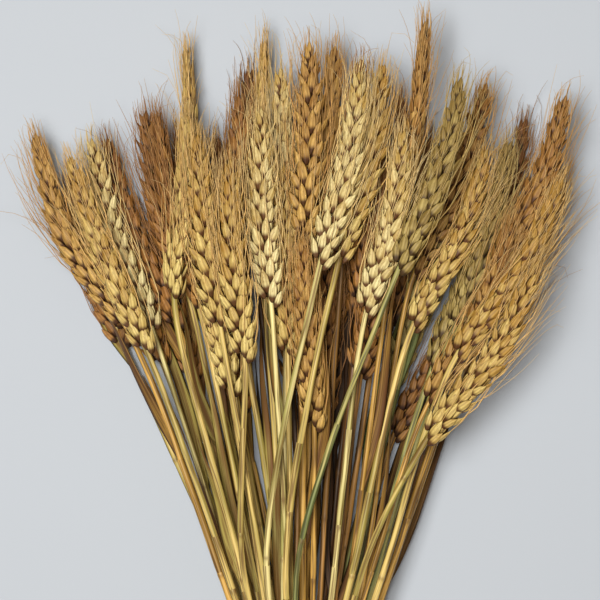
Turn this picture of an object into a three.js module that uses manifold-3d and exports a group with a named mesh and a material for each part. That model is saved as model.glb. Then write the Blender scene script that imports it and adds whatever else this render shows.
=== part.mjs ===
// Bundle of dried wheat, lying down
//
// Fifty-seven dried stalks are held by a band of jute twine and lie on a table.
// Each stalk is one grown piece: a round straw stem, a bearded ear of staggered
// spikelets and the long awns that stand out of them. Millimetres, +Z up. The
// twine crosses the stems at Y = 0, the ears fan out towards +Y and the cut ends
// point towards -Y.
//
// The stalks are laid one after another, as a hand lays them: the twine packs
// the stems in rows, and each ear comes down on whatever already lies under it.

import * as THREE from 'three';
import Module from 'manifold-3d';

// Driving dimensions of a stalk
const STEM_RADIUS_AT_TIE = 1.8;
const STEM_RADIUS_AT_NECK = 1.5;
const EAR_HALF_WIDTH = 6.6;
const EAR_HALF_THICKNESS = 4.5;
const SPIKELETS_PER_EAR = 14;

// Rings of the ear as shares of its half width, its half thickness and the
// spacing of its spikelets: where a spikelet stands out, and where the ear dips
// in to the foot of the next one
const STANDING = {
  pointWidth: 1,
  shoulderWidth: 0.5,
  thickness: 1,
  pointLean: 0.95,
  shoulderLean: 0.55,
};
const DIPPING = {
  pointWidth: 0.5,
  shoulderWidth: 0.26,
  thickness: 0.66,
  pointLean: -0.2,
  shoulderLean: -0.1,
};
const FIRST_RING = 0.4;
const LAST_SHARE = 0.995;

// Awns: how long they are, where along the ear they leave it and how they lean
const AWN_ROOT_RADIUS = 0.6;
const AWN_SUNK = 1;
const AWN_OUTSET = 0.3;
const AWN_LENGTH_MAX = 48;
const AWN_PAST_TIP_MIN = 8;
const AWN_PAST_TIP_MAX = 24;
const AWN_LEVELS = [0.35, 0.62, 0.8, 0.94];
const AWN_LEAN_MIN = 9;
const AWN_LEAN_DRAW = 8;
const AWN_SWING_GROWTH = 0.35;
const AWN_TRIES = 14;

// The awn that rises over its ear where nothing lies on it, by its place in the
// list, and how far from the middle of the fan ears have one
const RISING_AWN = 1;
const RISING_AWN_LEAN = 17;
const RISING_AWN_MAX_X = 95;

// Driving dimensions of the bundle
const STEM_PITCH = 4.25;
const CUT_END_LENGTH = 68;
const CUT_END_DRAW = 8;
const CUT_END_SPREAD = 1.3;
const CUT_END_LIFT = 0.1;
const WAIST_Y = 80;
const GAP = 0.35;
const TABLE_CLEARANCE = 0.5;
const FAN_EASE = 0.88;
const STACK_POWER = 2.6;

// Driving dimensions of the twine band
const TWINE_TURNS = 5;
const TWINE_PITCH = 1.9;
const TWINE_THICKNESS = 1.5;
const TWINE_CLEARANCE = 0.35;
const RIDGE_SHARE = 0.3;
const GROOVE_DEPTH = 0.55;
const KNOT_RADIUS = 1.9;
const TWINE_END_RADIUS = 1;
const HELD_HALF_LENGTH = (TWINE_TURNS * TWINE_PITCH) / 2 + 1.5;
const TIE_FLOOR = TWINE_THICKNESS + TWINE_CLEARANCE + STEM_RADIUS_AT_TIE;

// How finely the shapes are divided
const SIDES = 6;
const STEM_RINGS_ABOVE_TIE = 4;
const LAYING_STATIONS = 80;
const HELD_STATIONS = 2;
const LIFT_STATIONS = 12;
const EASE_PASSES = 40;
const DROOP_PER_STATION = 0.3;
const BAND_CORNERS = 12;
const FRAME_STEP = 0.004;

const TONES = {
  pale: { color: '#d9c48a', roughness: 0.62 },
  straw: { color: '#cfae6b', roughness: 0.64 },
  golden: { color: '#bd9152', roughness: 0.68 },
  brown: { color: '#8f6436', roughness: 0.74 },
  dark: { color: '#6b4626', roughness: 0.78 },
  olive: { color: '#a59a5f', roughness: 0.66 },
};

// Rows of stalks from the table upwards, each from left to right
//
// tip and neck are the two ends of the ear seen from above, bow is how far its
// middle bends to the left of the line between them, turn is how far the flat
// side of the ear is rolled, in degrees, and waist is where the stem passes
// WAIST_Y if it leaves the even fan.
const ROWS = [
  [
    { tip: [-104, 246], neck: [-79, 170], bow: 3, turn: 15, tone: 'brown' },
    { tip: [-68, 240], neck: [-49, 156], bow: 3, turn: -20, tone: 'dark' },
    { tip: [-36, 226], neck: [-28, 142], bow: 1, turn: 10, tone: 'dark' },
    { tip: [-6, 236], neck: [-6, 152], bow: 0, turn: 10, tone: 'dark' },
    { tip: [22, 238], neck: [14, 154], bow: -2, turn: 15, tone: 'dark' },
    { tip: [74, 206], neck: [37, 130], bow: -3, turn: -10, tone: 'brown' },
  ],
  [
    { tip: [-91, 240], neck: [-62, 162], bow: 3, turn: 15, tone: 'brown' },
    { tip: [-87, 262], neck: [-55, 178], bow: 4, turn: 5, tone: 'dark' },
    { tip: [-57, 264], neck: [-43, 178], bow: 2, turn: 70, tone: 'brown' },
    { tip: [-25, 292], neck: [-22, 206], bow: 2, turn: 15, tone: 'dark' },
    { tip: [17, 262], neck: [11, 178], bow: -1, turn: 20, tone: 'dark' },
    { tip: [54, 262], neck: [37, 180], bow: -2, turn: -15, tone: 'dark' },
    { tip: [103, 221], neck: [60, 148], bow: -3, turn: 10, tone: 'brown' },
  ],
  [
    { tip: [-70, 273], neck: [-50, 190], bow: 3, turn: 10, tone: 'brown' },
    { tip: [-39, 262], neck: [-35, 178], bow: 1, turn: -25, tone: 'dark' },
    { tip: [-3, 256], neck: [-2, 172], bow: 0, turn: 15, tone: 'brown' },
    { tip: [9, 226], neck: [7, 142], bow: 0, turn: -15, tone: 'dark' },
    { tip: [28, 262], neck: [21, 180], bow: -1, turn: 20, tone: 'dark' },
    { tip: [41, 278], neck: [32, 194], bow: -2, turn: 20, tone: 'brown' },
    { tip: [60, 234], neck: [37, 154], bow: -2, turn: 10, tone: 'olive' },
    { tip: [95, 270], neck: [70, 188], bow: -3, turn: -20, tone: 'dark' },
  ],
  [
    { tip: [-93, 261], neck: [-66, 178], bow: 4, turn: -15, tone: 'pale' },
    { tip: [-64, 272], neck: [-46, 188], bow: 3, turn: 75, tone: 'brown' },
    { tip: [-52, 301], neck: [-42, 214], bow: 2, turn: 85, tone: 'straw' },
    { tip: [-29, 279], neck: [-29, 194], bow: 1, turn: 25, tone: 'brown' },
    { tip: [-1, 280], neck: [-4, 195], bow: 0, turn: 10, tone: 'dark' },
    { tip: [31, 271], neck: [22, 188], bow: -1, turn: 10, tone: 'dark' },
    { tip: [80, 240], neck: [53, 160], bow: -3, turn: 20, tone: 'olive' },
    { tip: [112, 248], neck: [73, 174], bow: -4, turn: -10, tone: 'golden' },
  ],
  [
    { tip: [-117, 264], neck: [-76, 178], bow: 7, turn: 10, tone: 'golden' },
    { tip: [-43, 234], neck: [-32, 150], bow: 2, turn: -10, tone: 'straw' },
    { tip: [-18, 304], neck: [-19, 216], bow: 1, turn: 80, tone: 'straw' },
    { tip: [12, 300], neck: [4, 214], bow: -1, turn: 10, tone: 'golden' },
    { tip: [23, 293], neck: [15, 208], bow: -2, turn: 15, tone: 'brown' },
    { tip: [62, 268], neck: [46, 184], bow: -3, turn: 15, tone: 'olive' },
    { tip: [86, 259], neck: [62, 178], bow: -3, turn: -15, tone: 'olive' },
    { tip: [110, 278], neck: [77, 198], bow: -4, turn: 15, tone: 'golden' },
  ],
  [
    { tip: [-51, 270], neck: [-56, 192], bow: -2, turn: 60, tone: 'straw', waist: -29 },
    { tip: [-11, 290], neck: [-9, 204], bow: 1, turn: 15, tone: 'pale' },
    { tip: [-10, 248], neck: [-8, 166], bow: 0, turn: -20, tone: 'straw' },
    { tip: [1, 300], neck: [-1, 215], bow: -1, turn: 25, tone: 'golden' },
    { tip: [-2, 218], neck: [3, 136], bow: 1, turn: 15, tone: 'golden' },
    { tip: [33, 240], neck: [22, 158], bow: -2, turn: -10, tone: 'brown' },
    { tip: [50, 310], neck: [38, 224], bow: -2, turn: 80, tone: 'golden' },
    { tip: [77, 284], neck: [45, 200], bow: -4, turn: 10, tone: 'golden' },
  ],
  [
    { tip: [-101, 253], neck: [-67, 168], bow: 2, turn: 20, tone: 'straw' },
    { tip: [-46, 260], neck: [-36, 178], bow: 2, turn: 5, tone: 'straw' },
    { tip: [-19, 272], neck: [-15, 188], bow: 2, turn: -10, tone: 'pale' },
    { tip: [32, 290], neck: [13, 207], bow: -3, turn: 15, tone: 'straw', waist: -9 },
    { tip: [40, 261], neck: [24, 184], bow: -3, turn: 15, tone: 'pale' },
    { tip: [86, 224], neck: [50, 146], bow: -4, turn: 10, tone: 'golden' },
    { tip: [107, 242], neck: [61, 166], bow: -5, turn: 5, tone: 'straw' },
  ],
  [
    { tip: [-32, 250], neck: [-26, 165], bow: 2, turn: 20, tone: 'straw', waist: -27 },
    { tip: [22, 286], neck: [5, 204], bow: -3, turn: 15, tone: 'pale', waist: -17 },
    { tip: [64, 283], neck: [37, 202], bow: -4, turn: 10, tone: 'olive', waist: -4 },
    { tip: [76, 255], neck: [44, 178], bow: -4, turn: -10, tone: 'straw' },
    { tip: [96, 208], neck: [49, 132], bow: -5, turn: 0, tone: 'straw', waist: 24 },
  ],
];

const wasm = await Module();
wasm.setup();

// Seeded draws between 0 and 1
function makeDraw(seed) {
  let state = seed;
  return () => {
    state = (state * 1664525 + 1013904223) % 4294967296;
    return state / 4294967296;
  };
}

// Fullness of the ear from neck (0) to tip (1)
function earFullness(share) {
  const swell = Math.sin(Math.PI * Math.min(1, 0.16 + share * 0.9)) ** 0.55;
  return 0.3 + 0.7 * swell * (1 - 0.35 * share * share);
}

// Centre line seen from above, from the cut end to the tip of the ear
function planCurve(stalk, slotX) {
  const [tipX, tipY] = stalk.tip;
  const [neckX, neckY] = stalk.neck;
  const evenWaist = slotX + (neckX - slotX) * (WAIST_Y / neckY) * FAN_EASE;
  const waistX = stalk.waist ?? evenWaist;
  const length = Math.hypot(tipX - neckX, tipY - neckY);
  const leftX = -(tipY - neckY) / length;
  const leftY = (tipX - neckX) / length;
  const middleX = (neckX + tipX) / 2 + stalk.bow * leftX;
  const middleY = (neckY + tipY) / 2 + stalk.bow * leftY;
  const points = [
    new THREE.Vector3(slotX * CUT_END_SPREAD, -stalk.cutLength, 0),
    new THREE.Vector3(slotX, -HELD_HALF_LENGTH, 0),
    new THREE.Vector3(slotX, HELD_HALF_LENGTH, 0),
    new THREE.Vector3(waistX, WAIST_Y, 0),
    new THREE.Vector3(neckX, neckY, 0),
    new THREE.Vector3(middleX, middleY, 0),
    new THREE.Vector3(tipX, tipY, 0),
  ];
  return new THREE.CatmullRomCurve3(points, false, 'centripetal');
}

// Share of a curve's length at which it passes a given Y
function shareAtY(curve, y) {
  let low = 0;
  let high = 1;
  for (let step = 0; step < 30; step += 1) {
    const middle = (low + high) / 2;
    if (curve.getPointAt(middle).y < y) {
      low = middle;
    } else {
      high = middle;
    }
  }
  return (low + high) / 2;
}

// Half width and half height of the ear or stem at a share of the curve
function halfExtents(stalk, share) {
  if (share < stalk.neckShare) {
    const along = share / stalk.neckShare;
    const radius = THREE.MathUtils.lerp(STEM_RADIUS_AT_TIE, STEM_RADIUS_AT_NECK, along);
    return { across: radius, upright: radius };
  }
  const along = (share - stalk.neckShare) / (1 - stalk.neckShare);
  const fullness = earFullness(along);
  const roll = THREE.MathUtils.degToRad(stalk.turn);
  const width = EAR_HALF_WIDTH * fullness;
  const thickness = EAR_HALF_THICKNESS * fullness;
  const cos = Math.cos(roll);
  const sin = Math.abs(Math.sin(roll));
  return {
    across: Math.max(width * cos, width * STANDING.shoulderWidth * cos + thickness * sin),
    upright: Math.max(width * sin, width * STANDING.shoulderWidth * sin + thickness * cos),
  };
}

// Height that one station needs to clear another that lies under it
function heightOver(station, under) {
  const reach = station.across + under.across + GAP;
  const distance = Math.hypot(station.x - under.x, station.y - under.y);
  if (distance >= reach) {
    return 0;
  }
  const stack = station.upright + under.upright + GAP;
  return under.z + stack * (1 - (distance / reach) ** STACK_POWER) ** (1 / STACK_POWER);
}

// Lowest arched line that starts at the first height and passes over the rest,
// such as a stiff straw takes when it comes to lie on others
function archOver(heights) {
  const corners = [0];
  for (let index = 1; index < heights.length; index += 1) {
    while (corners.length > 1) {
      const middle = corners[corners.length - 1];
      const first = corners[corners.length - 2];
      const slope = (heights[index] - heights[first]) / (index - first);
      if (heights[middle] > heights[first] + slope * (middle - first)) {
        break;
      }
      corners.pop();
    }
    corners.push(index);
  }
  const arch = [];
  for (let corner = 1; corner < corners.length; corner += 1) {
    const from = corners[corner - 1];
    const to = corners[corner];
    for (let index = from; index < to; index += 1) {
      arch.push(THREE.MathUtils.lerp(heights[from], heights[to], (index - from) / (to - from)));
    }
  }
  arch.push(heights[heights.length - 1]);
  return arch;
}

// The same line where it droops no faster than a dry straw bends
function holdUp(line) {
  const held = [line[0]];
  for (let index = 1; index < line.length; index += 1) {
    held.push(Math.max(line[index], held[index - 1] - DROOP_PER_STATION));
  }
  return held;
}

// The same line with its corners eased
function easeCorners(line) {
  let eased = line;
  for (let pass = 0; pass < EASE_PASSES; pass += 1) {
    const before = eased;
    eased = before.map((height, index) => {
      if (index === 0 || index === before.length - 1) {
        return height;
      }
      return (before[index - 1] + 2 * height + before[index + 1]) / 4;
    });
  }
  return eased;
}

// Lay one stalk on those already laid and set its height all along
function settle(stalk, laid) {
  stalk.stations = [];
  for (let index = 0; index <= LAYING_STATIONS; index += 1) {
    const share = THREE.MathUtils.lerp(stalk.tieShare, 1, index / LAYING_STATIONS);
    const point = stalk.plan.getPointAt(share);
    stalk.stations.push({ x: point.x, y: point.y, ...halfExtents(stalk, share) });
  }
  const underneath = laid.flatMap((other) => other.stations);
  const needs = stalk.stations.map((station) => {
    const onTable = station.upright + TABLE_CLEARANCE;
    return underneath.reduce((need, under) => Math.max(need, heightOver(station, under)), onTable);
  });
  needs.fill(stalk.slotZ, 0, HELD_STATIONS);
  const eased = easeCorners(holdUp(archOver(needs)));
  const lifts = eased.map((height, index) => (needs[index] - height) / liftShare(index));
  const lift = Math.max(0, ...lifts.slice(HELD_STATIONS));
  stalk.stations.forEach((station, index) => {
    station.z = eased[index] + lift * liftShare(index);
  });
}

// How much of a lift a station takes: none at the twine, all of it further out
function liftShare(index) {
  return Math.min(1, index / LIFT_STATIONS);
}

// Point of the centre line at a share of its length
function centreAt(stalk, share) {
  const point = stalk.plan.getPointAt(share);
  if (share < stalk.tieShare) {
    const below = Math.max(0, 1 - share / stalk.heldShare);
    point.z = stalk.slotZ + (stalk.slotZ - BUNDLE_MIDDLE) * CUT_END_LIFT * below;
    return point;
  }
  const place = ((share - stalk.tieShare) / (1 - stalk.tieShare)) * LAYING_STATIONS;
  const index = Math.min(LAYING_STATIONS - 1, Math.floor(place));
  const from = stalk.stations[index].z;
  const to = stalk.stations[index + 1].z;
  point.z = THREE.MathUtils.lerp(from, to, place - index);
  return point;
}

// Direction of the stalk and the two directions across it
function frameAt(stalk, share, roll) {
  const ahead = centreAt(stalk, Math.min(1, share + FRAME_STEP));
  const behind = centreAt(stalk, Math.max(0, share - FRAME_STEP));
  const along = ahead.sub(behind).normalize();
  const across = new THREE.Vector3(along.y, -along.x, 0).normalize();
  const upright = new THREE.Vector3().crossVectors(across, along).normalize();
  const turnedAcross = across.clone().multiplyScalar(Math.cos(roll))
    .addScaledVector(upright, Math.sin(roll));
  const turnedUpright = upright.clone().multiplyScalar(Math.cos(roll))
    .addScaledVector(across, -Math.sin(roll));
  return { along, across: turnedAcross, upright: turnedUpright };
}

// Ring of points around the stem
function stemRing(stalk, share) {
  const centre = centreAt(stalk, share);
  const { across, upright } = frameAt(stalk, share, 0);
  const { across: radius } = halfExtents(stalk, share);
  const ring = [];
  for (let side = 0; side < SIDES; side += 1) {
    const angle = (side / SIDES) * 2 * Math.PI;
    ring.push(centre.clone()
      .addScaledVector(across, radius * Math.cos(angle))
      .addScaledVector(upright, radius * Math.sin(angle)));
  }
  return ring;
}

// Ring of points around the ear: on one side a spikelet stands out and leans
// forward, on the other side the ring dips in to the foot of the next spikelet
function earRing(stalk, index) {
  const spacing = (1 - stalk.neckShare) / SPIKELETS_PER_EAR;
  const foot = stalk.neckShare + (index + FIRST_RING) * spacing;
  const fullness = earFullness((index + FIRST_RING) / SPIKELETS_PER_EAR);
  const roll = THREE.MathUtils.degToRad(stalk.turn);
  const outward = index % 2 === 0 ? 1 : -1;
  const ring = [];
  for (let side = 0; side < SIDES; side += 1) {
    const angle = (side / SIDES) * 2 * Math.PI;
    const acrossSign = Math.sign(Math.cos(angle));
    const uprightSign = Math.sign(Math.round(Math.sin(angle)));
    const shape = acrossSign === outward ? STANDING : DIPPING;
    const width = uprightSign === 0 ? shape.pointWidth : shape.shoulderWidth;
    const lean = uprightSign === 0 ? shape.pointLean : shape.shoulderLean;
    const share = Math.min(LAST_SHARE, foot + lean * spacing);
    const { across, upright } = frameAt(stalk, share, roll);
    ring.push(centreAt(stalk, share)
      .addScaledVector(across, EAR_HALF_WIDTH * fullness * width * acrossSign)
      .addScaledVector(upright, EAR_HALF_THICKNESS * fullness * shape.thickness * uprightSign));
  }
  return ring;
}

// Closed skin over a list of rings, with a flat foot and a pointed tip
function skinRings(rings, tip) {
  const vertices = rings.flat();
  const faces = [];
  for (let side = 1; side < SIDES - 1; side += 1) {
    faces.push([0, side, side + 1]);
  }
  for (let ring = 0; ring < rings.length - 1; ring += 1) {
    for (let side = 0; side < SIDES; side += 1) {
      const next = (side + 1) % SIDES;
      const lower = ring * SIDES + side;
      const lowerNext = ring * SIDES + next;
      const upper = lower + SIDES;
      const upperNext = lowerNext + SIDES;
      faces.push([lower, upper, upperNext], [lower, upperNext, lowerNext]);
    }
  }
  const last = (rings.length - 1) * SIDES;
  vertices.push(tip);
  for (let side = 0; side < SIDES; side += 1) {
    faces.push([last + side, vertices.length - 1, last + ((side + 1) % SIDES)]);
  }
  return toSolid(vertices, faces);
}

function toSolid(vertices, faces) {
  const vertProperties = new Float32Array(vertices.flatMap((vertex) => vertex.toArray()));
  const triVerts = new Uint32Array(faces.flat());
  return new wasm.Manifold(new wasm.Mesh({ numProp: 3, vertProperties, triVerts }));
}

// Shares of the curve at which the stem has a ring of points
function stemShares(stalk) {
  const shares = [0, stalk.heldShare];
  for (let index = 0; index < STEM_RINGS_ABOVE_TIE; index += 1) {
    const along = index / (STEM_RINGS_ABOVE_TIE - 1);
    shares.push(THREE.MathUtils.lerp(stalk.tieShare, stalk.neckShare * LAST_SHARE, along));
  }
  return shares;
}

// Stem and ear of one stalk
function stalkBody(stalk) {
  const rings = stemShares(stalk).map((share) => stemRing(stalk, share));
  for (let index = 0; index < SPIKELETS_PER_EAR; index += 1) {
    rings.push(earRing(stalk, index));
  }
  return skinRings(rings, centreAt(stalk, 1));
}

// Shortest distance between two straight pieces
function distanceBetween(first, second) {
  const run = first.end.clone().sub(first.start);
  const otherRun = second.end.clone().sub(second.start);
  const offset = first.start.clone().sub(second.start);
  const runRun = run.dot(run);
  const otherOther = otherRun.dot(otherRun);
  const runOther = run.dot(otherRun);
  const runOffset = run.dot(offset);
  const otherOffset = otherRun.dot(offset);
  const spread = runRun * otherOther - runOther * runOther;
  const clamp = THREE.MathUtils.clamp;
  let share = spread > 1e-9 ? clamp((runOther * otherOffset - runOffset * otherOther) / spread, 0, 1) : 0;
  let otherShare = (runOther * share + otherOffset) / otherOther;
  if (otherShare < 0 || otherShare > 1) {
    otherShare = clamp(otherShare, 0, 1);
    share = clamp((runOther * otherShare - runOffset) / runRun, 0, 1);
  }
  const nearest = first.start.clone().addScaledVector(run, share);
  return nearest.distanceTo(second.start.clone().addScaledVector(otherRun, otherShare));
}

// Straight pieces that stand for a laid stalk when awns look for free room
function stalkSegments(stalk) {
  const segments = [];
  for (let index = 1; index < stalk.stations.length; index += 1) {
    const from = stalk.stations[index - 1];
    const to = stalk.stations[index];
    segments.push({
      start: new THREE.Vector3(from.x, from.y, from.z),
      end: new THREE.Vector3(to.x, to.y, to.z),
      radius: Math.max(from.across, from.upright, to.across, to.upright),
    });
  }
  return segments;
}

// Whether an awn clears the table, the other stalks and the awns already set
function isFree(awn, obstacles) {
  if (awn.end.z < AWN_ROOT_RADIUS) {
    return false;
  }
  for (const obstacle of obstacles) {
    if (distanceBetween(awn, obstacle) < obstacle.radius + AWN_ROOT_RADIUS + GAP) {
      return false;
    }
  }
  return true;
}

// Directions in which an awn leaves its ear: to one side of it, or up over it
function awnFrame(stalk, share, side) {
  if (side === 0) {
    const { along, across, upright } = frameAt(stalk, share, 0);
    return { along, outward: upright, beside: across, leanMin: RISING_AWN_LEAN };
  }
  const { along, across, upright } = frameAt(stalk, share, THREE.MathUtils.degToRad(stalk.turn));
  return { along, outward: across.multiplyScalar(side), beside: upright, leanMin: AWN_LEAN_MIN };
}

// One awn that leaves the ear at a spikelet, bent aside until it is free. Its
// side is 1 or -1, or 0 for an awn that rises
function placeAwn(stalk, earShare, side, draw, obstacles) {
  const share = THREE.MathUtils.lerp(stalk.neckShare, 1, earShare);
  const { along, outward, beside, leanMin } = awnFrame(stalk, share, side);
  const fullness = earFullness(earShare);
  const start = centreAt(stalk, share)
    .addScaledVector(outward, EAR_HALF_WIDTH * fullness * AWN_OUTSET)
    .addScaledVector(along, -AWN_SUNK);
  const toTip = (1 - earShare) * Math.hypot(stalk.tip[0] - stalk.neck[0], stalk.tip[1] - stalk.neck[1]);
  const pastTip = THREE.MathUtils.lerp(AWN_PAST_TIP_MIN, AWN_PAST_TIP_MAX, draw());
  const length = Math.min(AWN_LENGTH_MAX, toTip + pastTip);
  for (let index = 0; index < AWN_TRIES; index += 1) {
    const lean = THREE.MathUtils.degToRad(leanMin + AWN_LEAN_DRAW * draw() + index);
    const swing = (draw() - 0.5) * (1 + index * AWN_SWING_GROWTH);
    const direction = along.clone().multiplyScalar(Math.cos(lean))
      .addScaledVector(outward, Math.sin(lean) * Math.cos(swing))
      .addScaledVector(beside, Math.sin(lean) * Math.sin(swing));
    const end = start.clone().addScaledVector(direction, length);
    const awn = { start, end, radius: AWN_ROOT_RADIUS };
    if (isFree(awn, obstacles)) {
      return awn;
    }
  }
  return null;
}

// Three-sided needle from a sunk root to a fine point
function awnSolid(awn) {
  const along = awn.end.clone().sub(awn.start).normalize();
  const across = new THREE.Vector3(along.y, -along.x, 0).normalize();
  const upright = new THREE.Vector3().crossVectors(across, along);
  const vertices = [];
  for (let corner = 0; corner < 3; corner += 1) {
    const angle = (corner / 3) * 2 * Math.PI + Math.PI / 2;
    vertices.push(awn.start.clone()
      .addScaledVector(across, AWN_ROOT_RADIUS * Math.cos(angle))
      .addScaledVector(upright, AWN_ROOT_RADIUS * Math.sin(angle)));
  }
  vertices.push(awn.end);
  return toSolid(vertices, [[0, 1, 2], [0, 3, 1], [1, 3, 2], [2, 3, 0]]);
}

// Awns of all the ears, each ear's spread from its lower spikelets to its tip
function setAwns(stalks) {
  const draw = makeDraw(52);
  const segments = stalks.map(stalkSegments);
  const awns = [];
  stalks.forEach((stalk, index) => {
    stalk.awns = [];
    AWN_LEVELS.forEach((level, place) => {
      const others = segments.filter((_, other) => other !== index).flat();
      const side = place % 2 === 0 ? 1 : -1;
      const awn = placeAwn(stalk, level, side, draw, [...others, ...awns]);
      if (awn) {
        stalk.awns.push(awn);
      }
    });
    awns.push(...stalk.awns);
  });
}

// On the ears that nothing lies on, one awn rises instead of lying beside the ear
function raiseAwns(stalks) {
  const draw = makeDraw(53);
  const segments = stalks.map(stalkSegments);
  stalks.forEach((stalk, index) => {
    const lying = stalk.awns[RISING_AWN];
    if (!lying || Math.abs(stalk.tip[0]) > RISING_AWN_MAX_X) {
      return;
    }
    const others = segments.filter((_, other) => other !== index).flat();
    const awns = stalks.flatMap((other) => other.awns).filter((awn) => awn !== lying);
    const awn = placeAwn(stalk, AWN_LEVELS[RISING_AWN], 0, draw, [...others, ...awns]);
    if (awn) {
      stalk.awns[RISING_AWN] = awn;
    }
  });
}

// All the stalks, laid row by row
function layStalks() {
  const draw = makeDraw(7);
  const laid = [];
  ROWS.forEach((row, level) => {
    row.forEach((entry, place) => {
      const slotX = (place - (row.length - 1) / 2) * STEM_PITCH;
      const stalk = { ...entry, slotZ: TIE_FLOOR + level * STEM_PITCH };
      stalk.cutLength = CUT_END_LENGTH + CUT_END_DRAW * (draw() - 0.5);
      stalk.plan = planCurve(stalk, slotX);
      stalk.heldShare = shareAtY(stalk.plan, -HELD_HALF_LENGTH);
      stalk.tieShare = shareAtY(stalk.plan, HELD_HALF_LENGTH);
      stalk.neckShare = shareAtY(stalk.plan, stalk.neck[1]);
      settle(stalk, laid);
      laid.push(stalk);
    });
  });
  return laid;
}

// How far the packed stems reach from their middle in one direction
function bundleReach(angle) {
  let reach = 0;
  ROWS.forEach((row, level) => {
    const edgeX = ((row.length - 1) / 2) * STEM_PITCH;
    const edgeZ = TIE_FLOOR + level * STEM_PITCH - BUNDLE_MIDDLE;
    reach = Math.max(reach, edgeX * Math.abs(Math.cos(angle)) + edgeZ * Math.sin(angle));
  });
  return reach + STEM_RADIUS_AT_TIE + TWINE_CLEARANCE;
}

// Corner of the band, where two of its straight sides meet. The twine is drawn
// tight, so each side lies against the outermost stems, and one side is level
// underneath.
function bandPoint(corner, thickness) {
  const turn = (2 * Math.PI) / BAND_CORNERS;
  const angle = corner * turn;
  const nextAngle = angle + turn;
  const reach = bundleReach(angle) + thickness;
  const nextReach = bundleReach(nextAngle) + thickness;
  return {
    x: (reach * Math.sin(nextAngle) - nextReach * Math.sin(angle)) / Math.sin(turn),
    z: BUNDLE_MIDDLE + (nextReach * Math.cos(angle) - reach * Math.cos(nextAngle)) / Math.sin(turn),
  };
}

// Profile of the band: a flat inner side and one rounded ridge for each turn
function bandProfile() {
  const half = (TWINE_TURNS * TWINE_PITCH) / 2;
  const profile = [{ y: half, thickness: 0 }, { y: -half, thickness: 0 }];
  for (let turn = 0; turn < TWINE_TURNS; turn += 1) {
    const middle = -half + (turn + 0.5) * TWINE_PITCH;
    profile.push({ y: middle - TWINE_PITCH * RIDGE_SHARE, thickness: TWINE_THICKNESS });
    profile.push({ y: middle + TWINE_PITCH * RIDGE_SHARE, thickness: TWINE_THICKNESS });
    if (turn < TWINE_TURNS - 1) {
      profile.push({ y: middle + TWINE_PITCH * 0.5, thickness: TWINE_THICKNESS * GROOVE_DEPTH });
    }
  }
  return profile;
}

function twineBand() {
  const profile = bandProfile();
  const vertices = [];
  const faces = [];
  for (let corner = 0; corner < BAND_CORNERS; corner += 1) {
    for (const { y, thickness } of profile) {
      const { x, z } = bandPoint(corner, thickness);
      vertices.push(new THREE.Vector3(x, y, z));
    }
  }
  const count = profile.length;
  for (let corner = 0; corner < BAND_CORNERS; corner += 1) {
    for (let place = 0; place < count; place += 1) {
      const next = (place + 1) % count;
      const near = corner * count;
      const far = ((corner + 1) % BAND_CORNERS) * count;
      faces.push([near + place, near + next, far + next], [near + place, far + next, far + place]);
    }
  }
  return toSolid(vertices, faces);
}

// One short length of twine between two points, thinner at its far end
function twineEnd(start, end, startRadius, endRadius) {
  const along = end.clone().sub(start).normalize();
  const across = new THREE.Vector3(along.y, -along.x, 0).normalize();
  const upright = new THREE.Vector3().crossVectors(across, along);
  const rings = [[start, startRadius], [end, endRadius]].map(([centre, radius]) => {
    const ring = [];
    for (let side = 0; side < SIDES; side += 1) {
      const angle = (side / SIDES) * 2 * Math.PI;
      ring.push(centre.clone()
        .addScaledVector(across, radius * Math.cos(angle))
        .addScaledVector(upright, radius * Math.sin(angle)));
    }
    return ring;
  });
  return skinRings(rings, end.clone().addScaledVector(along, endRadius * 0.5));
}

// Band with a flat knot on top and two trimmed ends that lie along it
function twineTie() {
  const top = BUNDLE_MIDDLE * 2;
  const knotLeft = new THREE.Vector3(-1.4, 0.3, top + 0.8);
  const knotRight = new THREE.Vector3(3.4, -1.3, top + 1);
  const knotMiddle = knotLeft.clone().lerp(knotRight, 0.5);
  const leftEnd = new THREE.Vector3(-9.5, 2.4, top + 1.5);
  const rightEnd = new THREE.Vector3(10, -3.6, top + 1.6);
  return twineBand()
    .add(twineEnd(knotLeft, knotRight, KNOT_RADIUS, KNOT_RADIUS * 0.9))
    .add(twineEnd(knotMiddle, leftEnd, TWINE_END_RADIUS, TWINE_END_RADIUS * 0.85))
    .add(twineEnd(knotMiddle, rightEnd, TWINE_END_RADIUS, TWINE_END_RADIUS * 0.85));
}

function toMesh(name, solid, tone) {
  const { vertProperties, triVerts } = solid.getMesh();
  const geometry = new THREE.BufferGeometry();
  geometry.setAttribute('position', new THREE.BufferAttribute(vertProperties, 3));
  geometry.setIndex(new THREE.BufferAttribute(triVerts, 1));
  geometry.computeVertexNormals();
  const material = new THREE.MeshStandardMaterial({ ...tone, metalness: 0 });
  const mesh = new THREE.Mesh(geometry, material);
  mesh.name = name;
  return mesh;
}

const BUNDLE_MIDDLE = TIE_FLOOR + ((ROWS.length - 1) / 2) * STEM_PITCH;

const stalks = layStalks();
setAwns(stalks);
raiseAwns(stalks);

const bundle = new THREE.Group();
stalks.forEach((stalk, index) => {
  const solid = stalk.awns.reduce((whole, awn) => whole.add(awnSolid(awn)), stalkBody(stalk));
  bundle.add(toMesh(`stalk_${String(index + 1).padStart(2, '0')}`, solid, TONES[stalk.tone]));
});
bundle.add(toMesh('twine_tie', twineTie(), { color: '#a98b5d', roughness: 0.9 }));

// The origin is under the middle of the bundle, on the table
const box = new THREE.Box3().setFromObject(bundle);
bundle.position.set(-(box.min.x + box.max.x) / 2, -(box.min.y + box.max.y) / 2, -box.min.z);

export default bundle;
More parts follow.
